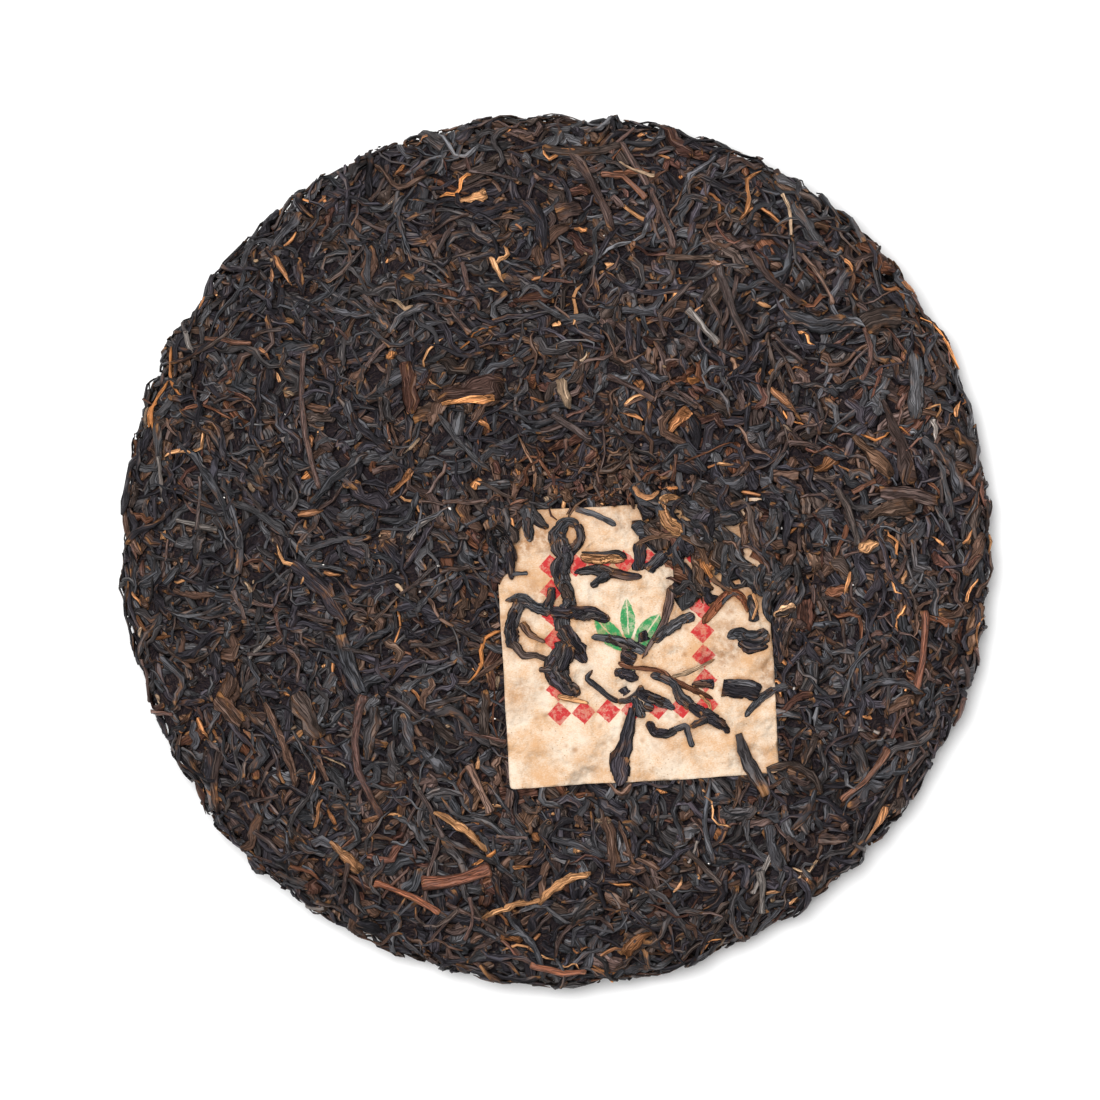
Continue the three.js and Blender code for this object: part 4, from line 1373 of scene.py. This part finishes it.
# leaves of the cake itself that cross onto the ticket
crossingLeaves = [
    ("slate", (4.1, 9.6, 1.4), (8.3, 8.2, 1.4), (11.1, 7.0, 1.4), (13.6, 5.6, 1.4)),
    ("black", (-7.4, 10.5, 3.3), (-4.8, 7.2, 2.8), (-1.8, 4.9, 1.4)),
    ("slate", (-6.7, 9.8, 2.8), (-6.4, 5.6, 3.0), (-5.9, 1.8, 1.4)),
    ("black", (-13.0, 4.9, 1.9), (-10.7, 0, 2.3), (-10.1, -6.8, 1.2)),
    ("slate", (-10.4, -5.4, 0.9), (-6.4, -5.3, 0.9)),
    (
        "slate", (43.0, -38.0, 1.4), (45.5, -34.9, 1.8), (48.1, -32.6, 1.8), (50.9, -31.4, 2.1),
        (53.0, -31.2, 1.9),
    ),
    (
        "blade", "black", (41.5, -41.8, 2.0), (42.7, -45.7, 2.7), (44.1, -49.0, 3.0), (46.3, -52.7, 3.3),
        (48.1, -56.0, 2.6),
    ),
    ("slate", (48.1, -49.9, 0.8), (49.5, -52.5, 1.2), (51.6, -54.8, 1.2), (53.4, -56.2, 0.9)),
    ("slate", (38.9, -19.9, 1.2), (41.5, -19.0, 3.0), (45.0, -20.1, 3.5), (48.5, -19.0, 3.5)),
    ("black", (41.5, -20.9, 1.4), (43.9, -22.3, 2.6), (48.3, -21.9, 0.9)),
    ("slate", (53.6, -3.5, 2.4), (50.2, -7.5, 3.0), (48.2, -12.0, 2.8), (49.0, -16.6, 1.6)),
    (
        "black", (54.6, -8.0, 2.6), (51.4, -12.6, 3.0), (50.4, -17.5, 2.8), (51.4, -22.5, 2.4),
        (51.0, -26.0, 1.2),
    ),
    ("brown", (53.9, -15.5, 2.0), (52.0, -19.5, 2.4), (52.4, -24.5, 1.6)),
    ("slate", (47.2, -3.2, 2.0), (46.0, -7.0, 2.4), (47.0, -10.6, 1.4)),
    ("straw", (49.4, -14.9, 1.4), (51.8, -13.9, 2.5), (54.3, -12.7, 1.8)),
    (
        "rust", (33.4, -16.8, 1.5), (35.6, -14.0, 2.0), (38.0, -11.0, 1.9), (40.4, -9.6, 1.7),
        (42.6, -11.0, 1.5), (43.6, -14.2, 1.0),
    ),
    ("slate", (44.2, -10.1, 1.2), (44.8, -13.1, 2.3), (45.1, -16.4, 2.3)),
    ("gold", (44.8, -9.8, 0.7), (45.7, -12.7, 0.8), (44.6, -15.9, 0.6)),
    ("black", (19.1, 1.6, 3.0), (18.8, -4.7, 3.0)),
    ("slate", (25.1, -0.5, 2.6), (20.7, -4.7, 3.0)),
    (
        "dun", (27.9, 12.0, 1.2), (24.8, 11.8, 1.8), (24.1, 9.4, 2.2), (25.4, 6.4, 3.0), (27.4, 4.8, 3.0),
        (28.8, 4.0, 1.2),
    ),
    ("dun", (17.6, 14.6, 0.9), (18.8, 12.7, 1.2), (21.2, 11.9, 1.3), (23.4, 13.4, 0.8)),
    (
        "olive", (18.0, 1.3, 1.0), (22.3, 3.0, 1.1), (27.4, 3.3, 1.2), (32.0, 1.3, 1.2), (34.0, -2.3, 1.4),
        (35.5, -6.4, 1.2), (40.6, -9.9, 0.9),
    ),
    ("gold", (33.4, -2.6, 0.6), (34.2, -4.4, 0.9), (35.6, -6.4, 0.7)),
]

handForm = {
    "packedRight": 150,  # leaves packed over the ticket's right corner
    "packedLeft": 30,  # and over its left one
    "packedLength": 13,  # the longest of them
    "packedWay": (-0.95, 0.55),  # how they lie, and how far off that, in radians
    "tries": 60,  # for a place where one doesn't stick out
    "proud": 1.1,  # the most that leaves on the face stand up, once pressed
    "proudPacked": 2.5,
    "uneven": (0.86, 1.16),  # how a listed leaf's width varies along it
    "wideFrom": 1.7,  # leaves wider than this have strands along them
    "strandEvery": 2.2,  # one for each such length of the leaf
    "mixed": 0.4,  # share of the strands in another colour than the leaf
    "crumbly": 210,  # crumbs and bits above the ticket
}


def layPacked(corners, count):
    # loose strands within an outline, none of which sticks out of it
    h = handForm
    low, high = np.min(corners, axis=0), np.max(corners, axis=0)
    lowest = ("plain", "folded", "broad", "torn")
    upper = ("rolled", "folded", "twisted", "frayed", "folded", "rolled", "shred")
    for laid in range(count):
        names = lowest if laid < 0.4 * count else upper
        kind = names[rng.integers(len(names))]
        length = min(rng.uniform(*kinds[kind]["length"]) * 0.8, h["packedLength"])
        for _ in range(h["tries"]):
            x, y = rng.uniform(low[0], high[0]), rng.uniform(low[1], high[1])
            direction = rng.normal(*h["packedWay"])
            reach = 0.5 * length * np.array([math.cos(direction), math.sin(direction)])
            if inside(corners, *np.array([(x, y) - reach, (x, y), (x, y) + reach]).T).all():
                layKind(top, kind, x, y, direction, (length, rng.uniform(*kinds[kind]["width"])))
                break


def layWide(piece, row):
    # a listed leaf, and where it is wide, strands rolled up along it
    h = handForm
    shapeName, family, *points = row if row[0] == "blade" else ("long", *row)
    line = throughPoints(points)
    line[:, 2] *= rng.uniform(*h["uneven"], len(line))
    line[1:-1, :2] += rng.normal(0, 0.03, (len(line) - 2, 2)) * line[1:-1, 2:]
    width = line[:, 2]
    thick = min(max(0.6, 0.5 * width.mean()), 1.3) * 0.8
    tone = colourOf(family)
    turn = rng.uniform(-0.2, 0.2)
    top.lay(piece, shapeName, line[:, :2], width, thick, tone, sink=0.12, turn=turn, slump=3, rough=0.05)
    passed = np.concatenate([[0], np.cumsum(np.linalg.norm(np.diff(line[:, :2], axis=0), axis=1))])
    length = passed[-1]
    if width.mean() < h["wideFrom"] or shapeName == "blade":
        return
    for _ in range(int(length / h["strandEvery"]) + 1):
        span = min(rng.uniform(3, 7.5), length * 0.9)
        places = np.linspace(0, span, 9) + rng.uniform(0, length - span)
        x, y, room = (np.interp(places, passed, values) for values in line.T)
        way = np.gradient(np.stack([x, y], axis=1), axis=0)
        way /= np.linalg.norm(way, axis=1)[:, None]
        aside = room * (rng.uniform(-0.34, 0.34) + rng.uniform(-0.16, 0.16) * np.linspace(-1, 1, 9))
        path = np.stack([x - way[:, 1] * aside, y + way[:, 0] * aside], axis=1)
        kind = ("rolled", "twisted", "shred", "folded")[rng.integers(4)]
        across = rng.uniform(0.4, 0.7) * min(room.mean(), 3.2)
        mixed = family != "dun" and rng.random() < h["mixed"]
        shade = colourOf(("slate", "black", "brown")[rng.integers(3)] if mixed else family)
        twist = rng.normal(0, 0.6)
        high = min(0.5 * across, 0.9)
        top.lay(piece, kind, path, across, high, shade, sink=0.3, twist=twist, rough=0.09)


def layCrumbs():
    # broken bits that gather above the ticket, and the pale crumbs painted as glints
    corners = [offTicket(a * halfAlong, b * halfUp) for a, b in ((-1, -1), (1, -1), (1, 1), (-1, 1))]
    for _ in range(handForm["crumbly"]):
        x, y = rng.normal(8, 10.5), rng.normal(16.5, 3.2)
        kind = ("crumb", "scrap", "shred", "crumb")[rng.integers(4)]
        tone = colourOf(("brown", "red", "olive", "bark", "black")[rng.integers(5)], 1.0, 0.2)
        if top.height[top.cells(np.array(x), np.array(y))] < 1 and not inside(corners, x, y):
            layKind(top, kind, x, y, rng.uniform(0, 3.1), None, tone)
    glintColour = np.array([0.75, 0.72, 0.68])
    # painted glints: small near-white crumbs
    for x, y, size in paintedGlints:
        path = wander(x, y, rng.uniform(0, 3.1), size, 0, 0)
        top.lay("crumb_top", "crumbB", path, 0.6 * size, 0.5 * size, glintColour, sink=-0.1)


def pressOver(leaves, ground):
    # leaves laid one by one are pressed too, less where they are packed over the ticket
    packed = packedShare()
    low, high = handForm["proud"], handForm["proudPacked"]
    for leaf in leaves:
        floor = top.sample(ground, leaf["x"], leaf["y"])
        over = leaf["height"] - floor
        most = low + (high - low) * top.sample(packed, leaf["x"], leaf["y"])
        leaf["height"] = floor + np.where(over > 0, most * np.tanh(0.85 * over / most), over)


print("laying the leaves on and round the ticket")
pressedGround = blur(top.height, 0.8)
firstOver = len(top.leaves)
for row in faceLeaves:
    layFaceLeaf(*row)
layCrumbs()
layPacked(packedRight, handForm["packedRight"])
layPacked(packedLeft, handForm["packedLeft"])
for row in crossingLeaves:
    layWide("crossing_leaves", row)
for node, rows in ticketLeaves.items():
    for row in rows:
        layWide(node + "_strands", row)
stainTicket(paperTicket)
pressOver(top.leaves[firstOver:], pressedGround)


def leafPiece(pile, name, leaves, material):
    # joins leaves into one mesh, each where it lies on its face
    points, grains, shades, corners, sizes = [], [], [], [], []
    start = 0
    for leaf in leaves:
        shape = shapes[leaf["shape"]]
        points.append(np.stack([leaf["x"], leaf["y"], leaf["height"]], axis=1))
        grains.append(leaf["grain"])
        shades.append(leaf["tone"])
        corners.append(shape["corners"] + start)
        sizes.append(shape["sizes"])
        start += len(leaf["x"])
    points, grains, shades = np.vstack(points), np.vstack(grains), np.vstack(shades)
    corners, sizes = np.concatenate(corners), np.concatenate(sizes)
    placed = onSurface(pile.face, *points.T) * mm
    if pile.face == "bottom":
        # the map is turned over there, and so are the faces
        corners = corners[::-1]
        sizes = sizes[::-1]
    mesh = bpy.data.meshes.new(name)
    mesh.vertices.add(len(placed))
    mesh.vertices.foreach_set("co", placed.ravel())
    mesh.loops.add(len(corners))
    mesh.loops.foreach_set("vertex_index", corners)
    mesh.polygons.add(len(sizes))
    mesh.polygons.foreach_set("loop_start", np.concatenate([[0], np.cumsum(sizes)[:-1]]))
    mesh.polygons.foreach_set("loop_total", sizes)
    mesh.polygons.foreach_set("use_smooth", np.ones(len(sizes), bool))
    mesh.update(calc_edges=True)
    grain = mesh.attributes.new("grain", "FLOAT_VECTOR", "POINT")
    grain.data.foreach_set("vector", grains.ravel())
    # each leaf's colour with its painted shade, and in the alpha how far along the leaf
    shade = mesh.attributes.new("leafTone", "FLOAT_COLOR", "POINT")
    shade.data.foreach_set("color", shades.ravel())
    mesh.materials.append(material)
    piece = bpy.data.objects.new(name, mesh)
    bpy.context.collection.objects.link(piece)
    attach(piece, "root")
    return piece, int((sizes - 2).sum())


def joinLeaves():
    # one piece for each kind and face, without the leaves that lie quite hidden
    darkLeaf = leafMaterial("driedLeaf")
    lightLeaf = leafMaterial("driedStem", 0.4, 0.15, 0.25, 0.3)
    crumbLeaf = leafMaterial("leafDust", 0.1, 0.2, 0.3, 0.6)
    whole = 0
    for pile in (top, bottom):
        seen = np.bincount(pile.owner[pile.owner >= 0], minlength=len(pile.leaves))
        groups = {}
        for number, leaf in enumerate(pile.leaves):
            needed = 1 if leaf["piece"].startswith(("crumb", "shred", "leaf")) else 3
            if seen[number] >= needed:
                groups.setdefault(leaf["piece"], []).append(leaf)
        for name, leaves in groups.items():
            light = name.startswith(("stem", "bud"))
            material = lightLeaf if light else crumbLeaf if name.startswith("crumb") else darkLeaf
            piece, count = leafPiece(pile, name, leaves, material)
            whole += count
            if name.startswith("leaf_"):
                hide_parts(name.removesuffix("_strands"))
            else:
                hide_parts("cake")
            print(name, len(leaves), "leaves", count, "triangles")
    print("leaves in all:", whole, "triangles")


print("joining the leaves")
joinLeaves()

coreForm = {
    "spokes": 160,
    "under": 2.2,  # how deep it lies under the pressed surface
    "lumps": 0.5,
    "lumpSize": 4.5,
    # the stretches of its section, from the crown to the hollow: from, to, and how many rings
    "rings": [(1.5, 90, 34), (93, 122, 18), (126, sectionLength - 1.5, 30)],
}


def makeCore():
    # the pressed dust and broken leaf that shows at the bottom of the gaps; its near-black colour is
    # painted shade of the gaps
    startFresh()
    c = coreForm
    places = np.concatenate([np.linspace(*stretch) for stretch in c["rings"]])
    r = np.interp(places, station, section[:, 0]) + c["under"] * np.interp(places, station, along[:, 1])
    z = np.interp(places, station, section[:, 1]) - c["under"] * np.interp(places, station, along[:, 0])
    start = {"radius": r[0] * mm, "location": (0, 0, z[0] * mm)}
    bpy.ops.mesh.primitive_circle_add(vertices=c["spokes"], fill_type="NGON", **start)
    piece = bpy.context.object
    piece.name = "pressed_core"
    bpy.ops.object.transform_apply(location=True, rotation=True, scale=True)
    bpy.ops.object.mode_set(mode="EDIT")
    bpy.ops.mesh.select_all(action="SELECT")
    for k in range(1, len(places)):
        step = (0, 0, (z[k] - z[k - 1]) * mm)
        bpy.ops.mesh.extrude_region_move(TRANSFORM_OT_translate={"value": step})
        grow = r[k] / r[k - 1]
        bpy.ops.transform.resize(value=(grow, grow, 1), center_override=(0, 0, z[k] * mm))
    bpy.ops.mesh.select_all(action="SELECT")
    bpy.ops.mesh.normals_make_consistent(inside=False)
    bpy.ops.object.mode_set(mode="OBJECT")
    split = piece.modifiers.new("finer", "SUBSURF")
    split.levels = split.render_levels = 1
    lumps = bpy.data.textures.new("lumps", "CLOUDS")
    lumps.noise_scale = c["lumpSize"] * mm
    lumps.noise_depth = 3
    uneven = piece.modifiers.new("uneven", "DISPLACE")
    uneven.texture, uneven.strength, uneven.mid_level = lumps, c["lumps"] * mm, 0.5
    uneven.texture_coords = "LOCAL"
    for modifier in (split, uneven):
        bpy.ops.object.modifier_apply(modifier=modifier.name)
    bpy.ops.object.shade_smooth()
    mesh = piece.data
    points = pointsOf(mesh) / mm
    points[:, 2] += sway(*points.T) * np.sign(points[:, 2] - form["rimLevel"])
    mesh.vertices.foreach_set("co", (points * mm).ravel())
    mesh.update()
    mesh.materials.append(coreMaterial())
    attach(piece, "root")
    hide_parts("cake")


print("making the core")
makeCore()

studio = {
    "floor": "f6f6f6",
    "world": 0.4,
    "lamp": 1.1,  # side of the overhead lamp, in metres
    "lampPlace": (-0.3, 0.28, 1.8),
    "lampPower": 46,
    "sensor": 36,
    "cameraHeight": 2.2,
    "cameraAside": -1.4 * mm,
    "view": 252.1 * mm,  # what the camera sees across, at the height of the rim
}


def setStage():
    startFresh()
    s = studio
    bpy.ops.mesh.primitive_plane_add(size=8, location=(0, 0, -0.4 * mm))
    floor = bpy.context.object
    floor.name = "floor"
    paint = Paint("paleFloor")
    sockets = {"Base Color": linear(s["floor"]), "Roughness": 0.9, "Specular IOR Level": 0.1}
    shader = paint.node("ShaderNodeBsdfPrincipled", None, sockets)
    paint.node("ShaderNodeOutputMaterial", None, {"Surface": shader}, None)
    floor.data.materials.append(paint.material)
    world = bpy.context.scene.world or bpy.data.worlds.new("studio")
    bpy.context.scene.world = world
    world.use_nodes = True
    sky = world.node_tree.nodes["Background"].inputs
    sky["Color"].default_value = (1, 1, 1, 1)
    sky["Strength"].default_value = s["world"]
    bpy.ops.object.light_add(type="AREA", location=s["lampPlace"])
    lamp = bpy.context.object
    lamp.data.size, lamp.data.energy = s["lamp"], s["lampPower"]
    # it is turned to face the middle of the floor
    x, y, z = s["lampPlace"]
    lamp.rotation_euler = (0, math.atan2(math.hypot(x, y), z), math.atan2(y, x))
    bpy.ops.object.camera_add(location=(s["cameraAside"], 0, s["cameraHeight"]), rotation=(0, 0, 0))
    camera = bpy.context.object
    camera.data.sensor_width = s["sensor"]
    camera.data.lens = s["sensor"] * (s["cameraHeight"] - form["rimLevel"] * mm) / s["view"]
    camera.data.clip_start, camera.data.clip_end = 0.05, 20
    bpy.context.scene.camera = camera
    bpy.context.scene.view_settings.view_transform = "Standard"


print("setting the stage")
setStage()
